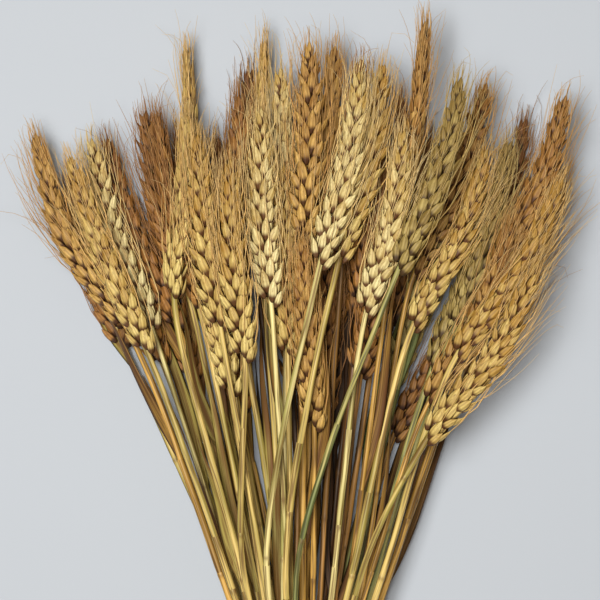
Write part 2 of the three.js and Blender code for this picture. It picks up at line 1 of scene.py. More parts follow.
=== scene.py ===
"""Looks of the bundle of dried wheat.

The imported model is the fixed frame. Each of its stalks gets a finer piece on the
same centre line: a ribbed straw with its joints and sheath, an ear of overlapping
husks and thin awns. The band around the stems gets a wound and knotted twine.
Lengths are in millimetres until a mesh is made, and Y = 0 is where the twine
crosses the stems.
"""

import logging
import math
from collections.abc import Mapping, Sequence
from dataclasses import dataclass, field
from enum import Enum, IntEnum

import bpy
import numpy as np
from bpy.types import Material, Mesh, Node, NodeSocket, NodeTree, Object
from mathutils import Matrix, Vector

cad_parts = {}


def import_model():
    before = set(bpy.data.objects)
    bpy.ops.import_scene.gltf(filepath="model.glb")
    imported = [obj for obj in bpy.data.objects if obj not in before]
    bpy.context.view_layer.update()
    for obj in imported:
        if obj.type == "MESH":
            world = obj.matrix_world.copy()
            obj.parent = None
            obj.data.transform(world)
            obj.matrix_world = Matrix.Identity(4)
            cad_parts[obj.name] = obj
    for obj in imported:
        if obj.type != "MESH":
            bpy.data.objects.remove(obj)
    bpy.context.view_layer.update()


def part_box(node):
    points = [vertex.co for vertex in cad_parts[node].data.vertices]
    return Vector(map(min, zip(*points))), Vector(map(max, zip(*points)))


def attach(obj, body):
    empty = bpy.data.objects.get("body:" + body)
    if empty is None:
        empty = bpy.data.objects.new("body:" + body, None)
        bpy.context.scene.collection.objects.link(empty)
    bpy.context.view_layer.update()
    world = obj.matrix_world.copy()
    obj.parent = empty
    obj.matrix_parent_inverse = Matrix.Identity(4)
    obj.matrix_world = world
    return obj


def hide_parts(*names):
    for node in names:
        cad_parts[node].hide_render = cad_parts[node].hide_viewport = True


LOG = logging.getLogger("wheat")
MM = 0.001
# Inputs of a Map Range node: the ends of the range it reads and of the one it gives
LIMITS = (1, 2, 3, 4)
# Inputs of a Mix node that take its two colours
UNDER, OVER = 6, 7
# Inputs of a Compare node that take its two whole numbers
FOUND, WANTED = 2, 3


class Tone(Enum):
    """How far a stalk has ripened and dried, by the material slot it takes. The dark tone's straws,
    low in the bundle, are also darkened with painted shade.
    """

    PALE = "straw_pale"
    STRAW = "straw_straw"
    GOLDEN = "straw_golden"
    BROWN = "straw_brown"
    DARK = "straw_dark"
    OLIVE = "straw_olive"


PALE, STRAW, GOLDEN, BROWN, DARK, OLIVE = Tone


class Part(IntEnum):
    """What a point of a piece's skeleton carries."""

    STEM = 0
    AWN = 1
    GLUME = 2
    LEMMA = 3
    MOUTH = 4
    BLADE = 5


# Small helpers


def linear(hex_colour: str) -> tuple[float, float, float, float]:
    """Turn an sRGB hex value into a linear colour.

    Args:
        hex_colour: Six digits after a hash sign.

    Returns:
        Red, green, blue and alpha.
    """
    channels = (int(hex_colour[place : place + 2], 16) / 255 for place in (1, 3, 5))
    red, green, blue = (
        value / 12.92 if value <= 0.04045 else ((value + 0.055) / 1.055) ** 2.4
        for value in channels
    )
    return red, green, blue, 1.0


def add_node(
    tree: NodeTree,
    kind: str,
    inputs: Mapping[object, object] | None = None,
    **settings: object,
) -> Node:
    """Add a node to a tree with its settings and its links.

    Args:
        tree: Tree that gets the node.
        kind: Type of the node.
        inputs: By input name or place, a value, a socket to link from, or a node
            whose main output is linked. A tuple of places takes as many values.
        settings: Properties of the node.

    Returns:
        The new node.
    """
    node = tree.nodes.new(kind)
    for name, value in settings.items():
        setattr(node, name, value)
    for key, value in (inputs or {}).items():
        if isinstance(value, Node):
            value = next(socket for socket in value.outputs if socket.enabled)
        if isinstance(value, NodeSocket):
            tree.links.new(value, node.inputs[key])
            continue
        pairs = zip(key, value) if isinstance(key, tuple) else [(key, value)]
        for place, single in pairs:
            node.inputs[place].default_value = single
    return node


def unit(vectors: np.ndarray) -> np.ndarray:
    """Scale vectors to length one."""
    return vectors / np.linalg.norm(vectors, axis=-1, keepdims=True)


def smooth_through(points: np.ndarray, per_span: int) -> np.ndarray:
    """Run a centripetal Catmull-Rom curve through points.

    Args:
        points: Points in order, one a row.
        per_span: How many points the curve has from each point to the next.

    Returns:
        Points of the curve, one a row.
    """
    chain = np.vstack([2 * points[0] - points[1], points, 2 * points[-1] - points[-2]])
    share = np.linspace(0, 1, per_span, endpoint=False)[:, None]
    spans = []
    for first in range(len(points) - 1):
        before, start, end, after = chain[first : first + 4]
        lead, run, trail = (
            math.sqrt(math.dist(one, other))
            for one, other in ((before, start), (start, end), (end, after))
        )
        leaving = (start - before) / lead - (end - before) / (lead + run) + (end - start) / run
        arriving = (end - start) / run - (after - start) / (run + trail) + (after - end) / trail
        leaving, arriving = leaving * run, arriving * run
        spans.append(
            start
            + share * leaving
            + share**2 * (3 * (end - start) - 2 * leaving - arriving)
            + share**3 * (2 * (start - end) + leaving + arriving)
        )
    return np.vstack([*spans, points[-1:]])


def run_lengths(points: np.ndarray) -> np.ndarray:
    """Give the length of a line up to each of its points."""
    steps = np.linalg.norm(np.diff(points, axis=0), axis=1)
    return np.concatenate([[0.0], np.cumsum(steps)])


# Laying the stalks


@dataclass(frozen=True)
class LayingRule:
    """Sizes of the rule that lays the stalks, in millimetres, as the solids have it."""

    stem_radius_at_tie: float = 1.8
    stem_radius_at_neck: float = 1.5
    ear_half_width: float = 6.6
    ear_half_thickness: float = 4.5
    ear_swell: tuple[float, float, float] = (0.16, 0.9, 0.55)
    ear_least: float = 0.3
    ear_taper: float = 0.35
    shoulder_width: float = 0.5
    stem_pitch: float = 4.25
    cut_end_length: float = 68
    cut_end_draw: float = 8
    cut_end_spread: float = 1.3
    cut_end_lift: float = 0.1
    waist_y: float = 80
    gap: float = 0.35
    table_clearance: float = 0.5
    fan_ease: float = 0.88
    stack_power: float = 2.6
    held_half_length: float = 6.25
    tie_floor: float = 3.65
    rows: int = 8
    plan_points: int = 60
    stations: int = 80
    held_stations: int = 2
    lift_stations: int = 12
    ease_passes: int = 40
    droop_per_station: float = 0.3
    frame_step: float = 0.004
    draw_start: int = 7
    draw_terms: tuple[int, int, int] = (1664525, 1013904223, 2**32)

    @property
    def middle(self) -> float:
        """Height of the middle of the stems inside the twine."""
        return self.tie_floor + (self.rows - 1) / 2 * self.stem_pitch


RULE = LayingRule()


def ear_fullness(share: np.ndarray) -> np.ndarray:
    """Give the fullness of an ear.

    Args:
        share: Places from its neck (0) to its tip (1).

    Returns:
        Its share of the full width and thickness at each place.
    """
    start, run, power = RULE.ear_swell
    swell = np.clip(np.sin(np.pi * np.minimum(1, start + share * run)), 0, 1) ** power
    return RULE.ear_least + (1 - RULE.ear_least) * swell * (1 - RULE.ear_taper * share * share)


@dataclass
class Stalk:
    """One stalk where it lies: its place in the bundle and its centre line.

    Attributes:
        number: Number of the stalk, counted from the table upwards.
        tip: Tip of the ear seen from above.
        neck: Foot of the ear seen from above.
        bow: How far the ear's middle bends to the left.
        turn: Roll of the ear's flat side, in degrees.
        tone: How ripe and dry the stalk is.
        waist: Where the stem passes the waist line if it leaves the even fan.
        slot_x: Place of the stem in its row inside the twine.
        slot_z: Height of the stem inside the twine.
        cut_length: Length of the stem below the twine.
    """

    number: int
    tip: tuple[float, float]
    neck: tuple[float, float]
    bow: float
    turn: float
    tone: Tone
    waist: float | None
    slot_x: float
    slot_z: float
    cut_length: float
    stations: np.ndarray = field(init=False)

    def __post_init__(self) -> None:
        """Draw the plan of the centre line and find the places along it."""
        tip, neck = np.array(self.tip, float), np.array(self.neck, float)
        even = self.slot_x + (neck[0] - self.slot_x) * RULE.waist_y / neck[1] * RULE.fan_ease
        run = tip - neck
        left = np.array([-run[1], run[0]]) / np.linalg.norm(run)
        corners = [
            [self.slot_x * RULE.cut_end_spread, -self.cut_length],
            [self.slot_x, -RULE.held_half_length],
            [self.slot_x, RULE.held_half_length],
            [even if self.waist is None else self.waist, RULE.waist_y],
            neck,
            (neck + tip) / 2 + self.bow * left,
            tip,
        ]
        self.plan = smooth_through(np.array(corners), RULE.plan_points)
        lengths = run_lengths(self.plan)
        self.length = lengths[-1]
        self.plan_shares = lengths / self.length
        self.held_share = self.share_at(-RULE.held_half_length)
        self.tie_share = self.share_at(RULE.held_half_length)
        self.neck_share = self.share_at(self.neck[1])

    def share_at(self, y: float) -> float:
        """Give the share of the length at which the line passes a given Y."""
        return float(np.interp(y, self.plan[:, 1], self.plan_shares))

    def extents(self, shares: np.ndarray) -> tuple[np.ndarray, np.ndarray]:
        """Measure the stalk along its line.

        Args:
            shares: Places along the line.

        Returns:
            Its half width and its half height at each place.
        """
        at_tie, at_neck = RULE.stem_radius_at_tie, RULE.stem_radius_at_neck
        stem = at_tie + shares / self.neck_share * (at_neck - at_tie)
        fullness = ear_fullness(np.clip((shares - self.neck_share) / (1 - self.neck_share), 0, 1))
        width = RULE.ear_half_width * fullness
        thickness = RULE.ear_half_thickness * fullness
        cos, sin = math.cos(math.radians(self.turn)), abs(math.sin(math.radians(self.turn)))
        shoulder = width * RULE.shoulder_width
        across = np.maximum(width * cos, shoulder * cos + thickness * sin)
        upright = np.maximum(width * sin, shoulder * sin + thickness * cos)
        on_stem = shares < self.neck_share
        return np.where(on_stem, stem, across), np.where(on_stem, stem, upright)

    def plan_at(self, shares: np.ndarray) -> np.ndarray:
        """Give the points of the plan at shares of its length."""
        columns = [np.interp(shares, self.plan_shares, self.plan[:, axis]) for axis in (0, 1)]
        return np.column_stack(columns)

    def centre(self, shares: np.ndarray) -> np.ndarray:
        """Follow the laid centre line.

        Args:
            shares: Places along the line.

        Returns:
            Its points, one a row.
        """
        places = (shares - self.tie_share) / (1 - self.tie_share) * RULE.stations
        above = np.interp(places, np.arange(RULE.stations + 1), self.stations[:, -1])
        spread = np.clip(1 - shares / self.held_share, 0, None)
        below = self.slot_z + (self.slot_z - RULE.middle) * RULE.cut_end_lift * spread
        heights = np.where(shares < self.tie_share, below, above)
        return np.column_stack([self.plan_at(shares), heights])

    def frame(
        self, shares: np.ndarray, roll: float = 0.0
    ) -> tuple[np.ndarray, np.ndarray, np.ndarray]:
        """Give the direction of the stalk and the two directions across it.

        Args:
            shares: Places along the line.
            roll: Turn about the line, in radians.

        Returns:
            Directions along, across and upright, one row for each place.
        """
        ahead = self.centre(np.minimum(1, shares + RULE.frame_step))
        behind = self.centre(np.maximum(0, shares - RULE.frame_step))
        along = unit(ahead - behind)
        across = unit(np.column_stack([along[:, 1], -along[:, 0], np.zeros(len(along))]))
        upright = unit(np.cross(across, along))
        turned = across * math.cos(roll) + upright * math.sin(roll)
        return along, turned, upright * math.cos(roll) - across * math.sin(roll)

    def settle(self, laid: np.ndarray) -> None:
        """Lay the stalk on the stations of those below it.

        Args:
            laid: Stations of the stalks already laid: x, y, half width, half
                height and height, one station a row.
        """
        shares = np.linspace(self.tie_share, 1, RULE.stations + 1)
        across, upright = self.extents(shares)
        plan = self.plan_at(shares)
        needs = upright + RULE.table_clearance
        if len(laid):
            x, y, half_width, half_height, height = laid.T
            reach = across[:, None] + half_width + RULE.gap
            apart = np.hypot(plan[:, :1] - x, plan[:, 1:] - y)
            stack = upright[:, None] + half_height + RULE.gap
            closeness = np.clip(1 - np.minimum(1, apart / reach) ** RULE.stack_power, 0, 1)
            over = height + stack * closeness ** (1 / RULE.stack_power)
            needs = np.maximum(needs, np.where(apart < reach, over, 0).max(axis=1))
        needs[: RULE.held_stations] = self.slot_z
        eased = self.ease(self.hold_up(self.arch_over(needs)))
        rise = np.minimum(1, np.arange(len(eased)) / RULE.lift_stations)
        held = RULE.held_stations
        lift = max(0.0, float(((needs[held:] - eased[held:]) / rise[held:]).max()))
        self.stations = np.column_stack([plan, across, upright, eased + lift * rise])

    @staticmethod
    def arch_over(heights: np.ndarray) -> np.ndarray:
        """Span heights with the lowest arched line that passes over them.

        Args:
            heights: The heights that it has to clear.

        Returns:
            Its own heights.
        """
        corners = [0]
        for index in range(1, len(heights)):
            while len(corners) > 1:
                first, middle = corners[-2:]
                slope = (heights[index] - heights[first]) / (index - first)
                if heights[middle] > heights[first] + slope * (middle - first):
                    break
                corners.pop()
            corners.append(index)
        return np.interp(np.arange(len(heights)), corners, heights[corners])

    @staticmethod
    def hold_up(line: np.ndarray) -> np.ndarray:
        """Let a line droop no faster than a dry straw bends.

        Args:
            line: Its heights.

        Returns:
            The heights, raised where it fell too fast.
        """
        held = line.copy()
        for index in range(1, len(held)):
            held[index] = max(held[index], held[index - 1] - RULE.droop_per_station)
        return held

    @staticmethod
    def ease(line: np.ndarray) -> np.ndarray:
        """Ease the corners of a line.

        Args:
            line: Its heights.

        Returns:
            The eased heights.
        """
        eased = line.copy()
        for _ in range(RULE.ease_passes):
            eased[1:-1] = (eased[:-2] + 2 * eased[1:-1] + eased[2:]) / 4
        return eased


# Rows of stalks from the table upwards, each from left to right. A stalk has the X and
# Y of its tip and of its neck, its bow, turn and tone, and the X of its waist where it
# leaves the even fan
ROWS: Sequence[Sequence[tuple]] = (
    (
        (-104, 246, -79, 170, 3, 15, BROWN),
        (-68, 240, -49, 156, 3, -20, DARK),
        (-36, 226, -28, 142, 1, 10, DARK),
        (-6, 236, -6, 152, 0, 10, DARK),
        (22, 238, 14, 154, -2, 15, DARK),
        (74, 206, 37, 130, -3, -10, BROWN),
    ),
    (
        (-91, 240, -62, 162, 3, 15, BROWN),
        (-87, 262, -55, 178, 4, 5, DARK),
        (-57, 264, -43, 178, 2, 70, BROWN),
        (-25, 292, -22, 206, 2, 15, DARK),
        (17, 262, 11, 178, -1, 20, DARK),
        (54, 262, 37, 180, -2, -15, DARK),
        (103, 221, 60, 148, -3, 10, BROWN),
    ),
    (
        (-70, 273, -50, 190, 3, 10, BROWN),
        (-39, 262, -35, 178, 1, -25, DARK),
        (-3, 256, -2, 172, 0, 15, BROWN),
        (9, 226, 7, 142, 0, -15, DARK),
        (28, 262, 21, 180, -1, 20, DARK),
        (41, 278, 32, 194, -2, 20, BROWN),
        (60, 234, 37, 154, -2, 10, OLIVE),
        (95, 270, 70, 188, -3, -20, DARK),
    ),
    (
        (-93, 261, -66, 178, 4, -15, PALE),
        (-64, 272, -46, 188, 3, 75, BROWN),
        (-52, 301, -42, 214, 2, 85, STRAW),
        (-29, 279, -29, 194, 1, 25, BROWN),
        (-1, 280, -4, 195, 0, 10, DARK),
        (31, 271, 22, 188, -1, 10, DARK),
        (80, 240, 53, 160, -3, 20, OLIVE),
        (112, 248, 73, 174, -4, -10, GOLDEN),
    ),
    (
        (-117, 264, -76, 178, 7, 10, GOLDEN),
        (-43, 234, -32, 150, 2, -10, STRAW),
        (-18, 304, -19, 216, 1, 80, STRAW),
        (12, 300, 4, 214, -1, 10, GOLDEN),
        (23, 293, 15, 208, -2, 15, BROWN),
        (62, 268, 46, 184, -3, 15, OLIVE),
        (86, 259, 62, 178, -3, -15, OLIVE),
        (110, 278, 77, 198, -4, 15, GOLDEN),
    ),
    (
        (-51, 270, -56, 192, -2, 60, STRAW, -29),
        (-11, 290, -9, 204, 1, 15, PALE),
        (-10, 248, -8, 166, 0, -20, STRAW),
        (1, 300, -1, 215, -1, 25, GOLDEN),
        (-2, 218, 3, 136, 1, 15, GOLDEN),
        (33, 240, 22, 158, -2, -10, BROWN),
        (50, 310, 38, 224, -2, 80, GOLDEN),
        (77, 284, 45, 200, -4, 10, GOLDEN),
    ),
    (
        (-101, 253, -67, 168, 2, 20, STRAW),
        (-46, 260, -36, 178, 2, 5, STRAW),
        (-19, 272, -15, 188, 2, -10, PALE),
        (32, 290, 13, 207, -3, 15, STRAW, -9),
        (40, 261, 24, 184, -3, 15, PALE),
        (86, 224, 50, 146, -4, 10, GOLDEN),
        (107, 242, 61, 166, -5, 5, STRAW),
    ),
    (
        (-32, 250, -26, 165, 2, 20, STRAW, -27),
        (22, 286, 5, 204, -3, 15, PALE, -17),
        (64, 283, 37, 202, -4, 10, OLIVE, -4),
        (76, 255, 44, 178, -4, -10, STRAW),
        (96, 208, 49, 132, -5, 0, STRAW, 24),
    ),
)


def lay_stalks() -> list[Stalk]:
    """Lay all the stalks, row by row, each on those below it.

    Returns:
        The stalks from the table upwards.
    """
    state = RULE.draw_start
    factor, step, span = RULE.draw_terms
    stalks: list[Stalk] = []
    laid = np.empty((0, 5))
    for level, row in enumerate(ROWS):
        for place, (tip_x, tip_y, neck_x, neck_y, bow, turn, tone, *waist) in enumerate(row):
            state = (state * factor + step) % span
            stalk = Stalk(
                number=len(stalks) + 1,
                tip=(tip_x, tip_y),
                neck=(neck_x, neck_y),
                bow=bow,
                turn=turn,
                tone=tone,
                waist=waist[0] if waist else None,
                slot_x=(place - (len(row) - 1) / 2) * RULE.stem_pitch,
                slot_z=RULE.tie_floor + level * RULE.stem_pitch,
                cut_length=RULE.cut_end_length + RULE.cut_end_draw * (state / span - 0.5),
            )
            stalk.settle(laid)
            laid = np.vstack([laid, stalk.stations])
            stalks.append(stalk)
    return stalks


# Finishes

Limits = tuple[float, float, float, float]


class Finish:
    """What the finishes share. Each is a frozen dataclass that feeds its own shader.

    Attributes:
        reads: Attributes of the surface that it reads, each with the output of it
            that it takes.
        roughness: Roughness of its surface.
    """

    reads: Mapping[str, str] = {}
    roughness: float

    def surface(self, tree: NodeTree, read: Mapping[str, NodeSocket]) -> dict[str, object]:
        """Add the finish's own nodes.

        Args:
            tree: Node tree of the material.
            read: The attributes of the surface, by name.

        Returns:
            What goes into the shader, by the name of its input.
        """
        raise NotImplementedError

    def make(self, name: str) -> Material:
        """Make the material.

        Args:
            name: Name of the material.

        Returns:
            The material.
        """
        material = bpy.data.materials.new(name)
        material.use_nodes = True
        tree = material.node_tree
        tree.nodes.clear()
        read = {
            mark: add_node(tree, "ShaderNodeAttribute", attribute_name=mark).outputs[output]
            for mark, output in self.reads.items()
        }
        inputs = {"Roughness": self.roughness} | self.surface(tree, read)
        shader = add_node(tree, "ShaderNodeBsdfPrincipled", inputs)
        add_node(tree, "ShaderNodeOutputMaterial", {"Surface": shader})
        return material

    @staticmethod
    def coat(
        tree: NodeTree,
        colour: object,
        layers: Sequence[tuple[object, str]],
        relief: tuple[object, float, float] | None = None,
    ) -> dict[str, object]:
        """Lay colours over each other on a raised or an even surface.

        Args:
            tree: Node tree of the material.
            colour: The undermost colour, or the node that gives it.
            layers: The share that each layer covers, and its colour.
            relief: What raises the surface, how strongly and by how many
                millimetres, or None where it is even.

        Returns:
            What goes into the shader.
        """
        for share, over in layers:
            mixed = {0: share, UNDER: colour, OVER: linear(over)}
            colour = add_node(tree, "ShaderNodeMix", mixed, data_type="RGBA")
        if relief is None:
            return {"Base Color": colour}
        height, strength, depth_mm = relief
        raised = {"Strength": strength, "Distance": depth_mm * MM, "Height": height}
        return {"Base Color": colour, "Normal": add_node(tree, "ShaderNodeBump", raised)}

    @staticmethod
    def drawn_out(
        tree: NodeTree, grain: NodeSocket, stretch: Sequence[float], **more: object
    ) -> Node:
        """Add noise that is drawn out along the grain.

        Args:
            tree: Node tree of the material.
            grain: Place on the piece, with its length along Z.
            stretch: How often the noise changes along each axis.
            more: The noise's other inputs. A W tells one piece's noise from another's.

        Returns:
            The node that gives the noise.
        """
        stretched = add_node(
            tree, "ShaderNodeVectorMath", {0: grain, 1: stretch}, operation="MULTIPLY"
        )
        kind = {"noise_dimensions": "4D"} if "W" in more else {}
        return add_node(tree, "ShaderNodeTexNoise", {"Vector": stretched, **more}, **kind)

    @staticmethod
    def per_metre(width_mm: float, length_mm: float) -> tuple[float, float, float]:
        """Turn the width and length of a mark into a stretch along each axis."""
        return 1 / (width_mm * MM), 1 / (width_mm * MM), 1 / (length_mm * MM)


@dataclass(frozen=True)
class HuskFinish(Finish):
    """Dried wheat husk, grown: papery, ribbed along its length, with painted shade in its
    grooves, at its edges and at its foot where it tucks behind the next husk, so it
    catches light softly and darkens in the folds.

    Attributes:
        body: Colour of the husk's back.
        alternate: Colour of the husks that dried differently.
        foot: Painted shade at the foot, where the husk tucks behind the next one.
        streak_and_shade_colour: Colour of the streaks, and painted shade in the grooves that run
            along it and at its edges, where the husks meet.
        ribs: How often the grooves repeat over its half width, in radians.
        streaks: How many streaks lie beside each other over its half width.
    """

    reads = {"grain": "Vector", "tone": "Fac"}
    body: str
    alternate: str
    foot: str
    streak_and_shade_colour: str
    roughness: float = 0.62
    ribs: float = 8.0
    rib_depth_mm: float = 0.14
    rib_strength: float = 0.6
    blotch_mm: float = 4.5
    streaks: float = 5.0
    detail: float = 3.0
    seed_step: float = 70.0
    blotch_limits: Limits = (0.6, 1.4, 0.0, 1.0)
    painted_groove_shade_limits: Limits = (0.2, -1.0, 0.0, 0.4)
    streak_limits: Limits = (0.5, 0.72, 0.0, 0.8)
    painted_edge_shade_limits: Limits = (0.62, 0.95, 0.0, 0.85)
    painted_foot_shade_limits: Limits = (0.2, 0.42, 0.95, 0.0)

    def surface(self, tree: NodeTree, read: Mapping[str, NodeSocket]) -> dict[str, object]:
        """Add the nodes of blotches, streaks, and painted shade in the grooves, at the edges and at
        the foot.

        Args:
            tree: Node tree of the material.
            read: The attributes of the surface, by name.

        Returns:
            What goes into the shader.
        """
        grain, tone = read["grain"], read["tone"]
        axes = add_node(tree, "ShaderNodeSeparateXYZ", {0: grain})
        place = add_node(tree, "ShaderNodeTexCoord").outputs["Object"]
        blotches = {"Vector": place, "Scale": 1 / (self.blotch_mm * MM), "Detail": self.detail}
        blotches = add_node(tree, "ShaderNodeTexNoise", blotches)
        dried = add_node(tree, "ShaderNodeMath", {0: tone, 1: blotches}, operation="ADD")
        dried = add_node(tree, "ShaderNodeMapRange", {0: dried, LIMITS: self.blotch_limits})
        seed = add_node(tree, "ShaderNodeMath", {0: tone, 1: self.seed_step}, operation="MULTIPLY")
        stretch = (self.streaks, self.streaks, 1.0)
        streaks = self.drawn_out(tree, grain, stretch, W=seed, Scale=1.0, Detail=self.detail)
        beside = axes.outputs["X"]
        wave = add_node(tree, "ShaderNodeMath", {0: beside, 1: self.ribs}, operation="MULTIPLY")
        ridge = add_node(tree, "ShaderNodeMath", {0: wave}, operation="COSINE")
        side = add_node(tree, "ShaderNodeMath", {0: beside}, operation="ABSOLUTE")
        # The grooves and the edges where husks meet take the rib colour as painted shade; the
        # streaks take it as the husk's own colour
        streak_and_crease_mask, streak, edge_shade = (
            add_node(tree, "ShaderNodeMapRange", {0: value, LIMITS: limits})
            for value, limits in (
                (ridge, self.painted_groove_shade_limits),
                (streaks, self.streak_limits),
                (side, self.painted_edge_shade_limits),
            )
        )
        for mark in (streak, edge_shade):
            streak_and_crease_mask = add_node(tree, "ShaderNodeMath", {0: streak_and_crease_mask, 1: mark}, operation="MAXIMUM")
        # Painted shade at the foot of the husk, where it tucks behind the next one
        rise = {0: axes.outputs["Z"], LIMITS: self.painted_foot_shade_limits}
        rise = add_node(tree, "ShaderNodeMapRange", rise, interpolation_type="SMOOTHSTEP")
        layers = [(dried, self.alternate), (streak_and_crease_mask, self.streak_and_shade_colour), (rise, self.foot)]
        relief = (ridge, self.rib_strength, self.rib_depth_mm)
        return self.coat(tree, linear(self.body), layers, relief)


@dataclass(frozen=True)
class StrawFinish(Finish):
    """Dried wheat straw, grown: a waxy stem with fine lengthwise stripes, so it
    shows long soft highlights, with dark joints and patches that stayed green.

    Attributes:
        body: Colour of most of the stem.
        alternate: Colour of its other patches.
        stripe: Colour of the fine dark stripes.
        joint: Colour of the joints.
        stripe_mm: Width and length of a stripe, drawn wider than real to show.
        patch_mm: Width and length of a patch.
    """

    reads = {"grain": "Vector", "tone": "Fac", "mark": "Fac"}
    body: str
    alternate: str
    stripe: str
    joint: str = "#6a4a22"
    roughness: float = 0.5
    stripe_mm: tuple[float, float] = (0.8, 26.0)
    patch_mm: tuple[float, float] = (3.0, 60.0)
    stripe_depth_mm: float = 0.1
    stripe_strength: float = 0.7
    detail: float = 2.0
    seed_step: float = 90.0
    patch_limits: Limits = (0.4, 0.62, 0.0, 1.0)
    stripe_limits: Limits = (0.46, 0.6, 0.0, 0.85)
    gloss_from: tuple[float, float] = (0.3, 0.7)
    gloss_change: tuple[float, float] = (-0.08, 0.15)

    def surface(self, tree: NodeTree, read: Mapping[str, NodeSocket]) -> dict[str, object]:
        """Add the nodes of stripes, patches, joints and gloss.

        Args:
            tree: Node tree of the material.
            read: The attributes of the surface, by name.

        Returns:
            What goes into the shader.
        """
        seed = {0: read["tone"], 1: self.seed_step}
        seed = add_node(tree, "ShaderNodeMath", seed, operation="MULTIPLY")
        shared = {"W": seed, "Scale": 1.0, "Detail": self.detail}
        stripes, patches = (
            self.drawn_out(tree, read["grain"], self.per_metre(*size), **shared)
            for size in (self.stripe_mm, self.patch_mm)
        )
        patch = {0: patches, LIMITS: self.patch_limits}
        patch = add_node(tree, "ShaderNodeMapRange", patch, interpolation_type="SMOOTHSTEP")
        gloss = (*self.gloss_from, *(self.roughness + change for change in self.gloss_change))
        streak, gloss = (
            add_node(tree, "ShaderNodeMapRange", {0: stripes, LIMITS: limits})
            for limits in (self.stripe_limits, gloss)
        )
        layers = [(patch, self.alternate), (streak, self.stripe), (read["mark"], self.joint)]
        relief = (stripes, self.stripe_strength, self.stripe_depth_mm)
        return {"Roughness": gloss} | self.coat(tree, linear(self.body), layers, relief)


@dataclass(frozen=True)
class AwnFinish(Finish):
    """Dried awn, grown: a stiff, half glossy bristle that pales towards its point.

    Attributes:
        root: Colour where it leaves the husk.
        point: Colour further out.
        least: Share of the point's colour at its root.
    """

    reads = {"mark": "Fac", "tone": "Fac"}
    root: str
    point: str
    least: float = 0.1
    roughness: float = 0.5

    def surface(self, tree: NodeTree, read: Mapping[str, NodeSocket]) -> dict[str, object]:
        """Add the nodes that pale it towards its point.

        Args:
            tree: Node tree of the material.
            read: The attributes of the surface, by name.

        Returns:
            What goes into the shader.
        """
        share = {0: read["mark"], 1: read["tone"], 2: self.least}
        share = add_node(tree, "ShaderNodeMath", share, operation="MULTIPLY_ADD", use_clamp=True)
        return self.coat(tree, linear(self.root), [(share, self.point)])


@dataclass(frozen=True)
class TwineFinish(Finish):
    """Jute twine, spun and twisted: dull hairy fibres that run along each strand
    and leave it matt, with single fibres paler or darker than the rest.

    Attributes:
        colours: Colours from its darkest to its palest fibres, with the noise that
            each stands at.
        fibre_mm: Width and length of a fibre.
    """

    reads = {"grain": "Vector"}
    colours: Sequence[tuple[float, str]] = ((0.3, "#6f5532"), (0.5, "#a98b5d"), (0.72, "#c9ae7e"))
    roughness: float = 0.9
    fibre_mm: tuple[float, float] = (0.16, 3.0)
    fibre_depth_mm: float = 0.1
    fibre_strength: float = 0.8
    detail: float = 2.0

    def surface(self, tree: NodeTree, read: Mapping[str, NodeSocket]) -> dict[str, object]:
        """Add the nodes of the fibres.

        Args:
            tree: Node tree of the material.
            read: The attributes of the surface, by name.

        Returns:
            What goes into the shader.
        """
        stretch = self.per_metre(*self.fibre_mm)
        fibres = self.drawn_out(tree, read["grain"], stretch, Detail=self.detail)
        ramp = add_node(tree, "ShaderNodeValToRGB", {0: fibres})
        stops = ramp.color_ramp.elements
        stops.new(self.colours[1][0])
        for stop, (place, colour) in zip(stops, self.colours):
            stop.position = place
            stop.color = linear(colour)
        return self.coat(tree, ramp, [], (fibres, self.fibre_strength, self.fibre_depth_mm))


@dataclass(frozen=True)
class TableFinish(Finish):
    """Matt painted board, rolled: an even pale surface that only takes shadows."""

    paint: str = "#b8c1cf"
    roughness: float = 0.9

    def surface(self, tree: NodeTree, read: Mapping[str, NodeSocket]) -> dict[str, object]:
        """Give the colour of the paint."""
        return self.coat(tree, linear(self.paint), [])


@dataclass(frozen=True)
class Palette:
    """Colours of the stalks of one tone.

    Attributes:
        husk: Back, dried back, painted shade at the foot, and streaks with painted shade in grooves
            and at edges of a husk.
        straw: Stem, its other patches and its stripes.
        awn: Root and point of an awn.
    """

    husk: tuple[str, str, str, str]
    straw: tuple[str, str, str]
    awn: tuple[str, str]
    leaf_roughness: float = 0.7
    leaf_stripe_mm: tuple[float, float] = (0.5, 26.0)

    def make(self, tone: Tone) -> dict[str, Material]:
        """Make the materials of a stalk.

        Args:
            tone: The tone that they are named for.

        Returns:
            The materials, by the input of the stalk's node tree that takes them.
        """
        _, dried, stripe = self.straw
        dry = {"roughness": self.leaf_roughness, "stripe_mm": self.leaf_stripe_mm}
        finishes = {
            "Straw": StrawFinish(*self.straw),
            "Husk": HuskFinish(*self.husk),
            "Awn": AwnFinish(*self.awn),
            "Leaf": StrawFinish(dried, self.husk[3], stripe, **dry),
        }
        return {
            part: finish.make(f"dried_wheat_{part.lower()}_{tone.name.lower()}")
            for part, finish in finishes.items()
        }


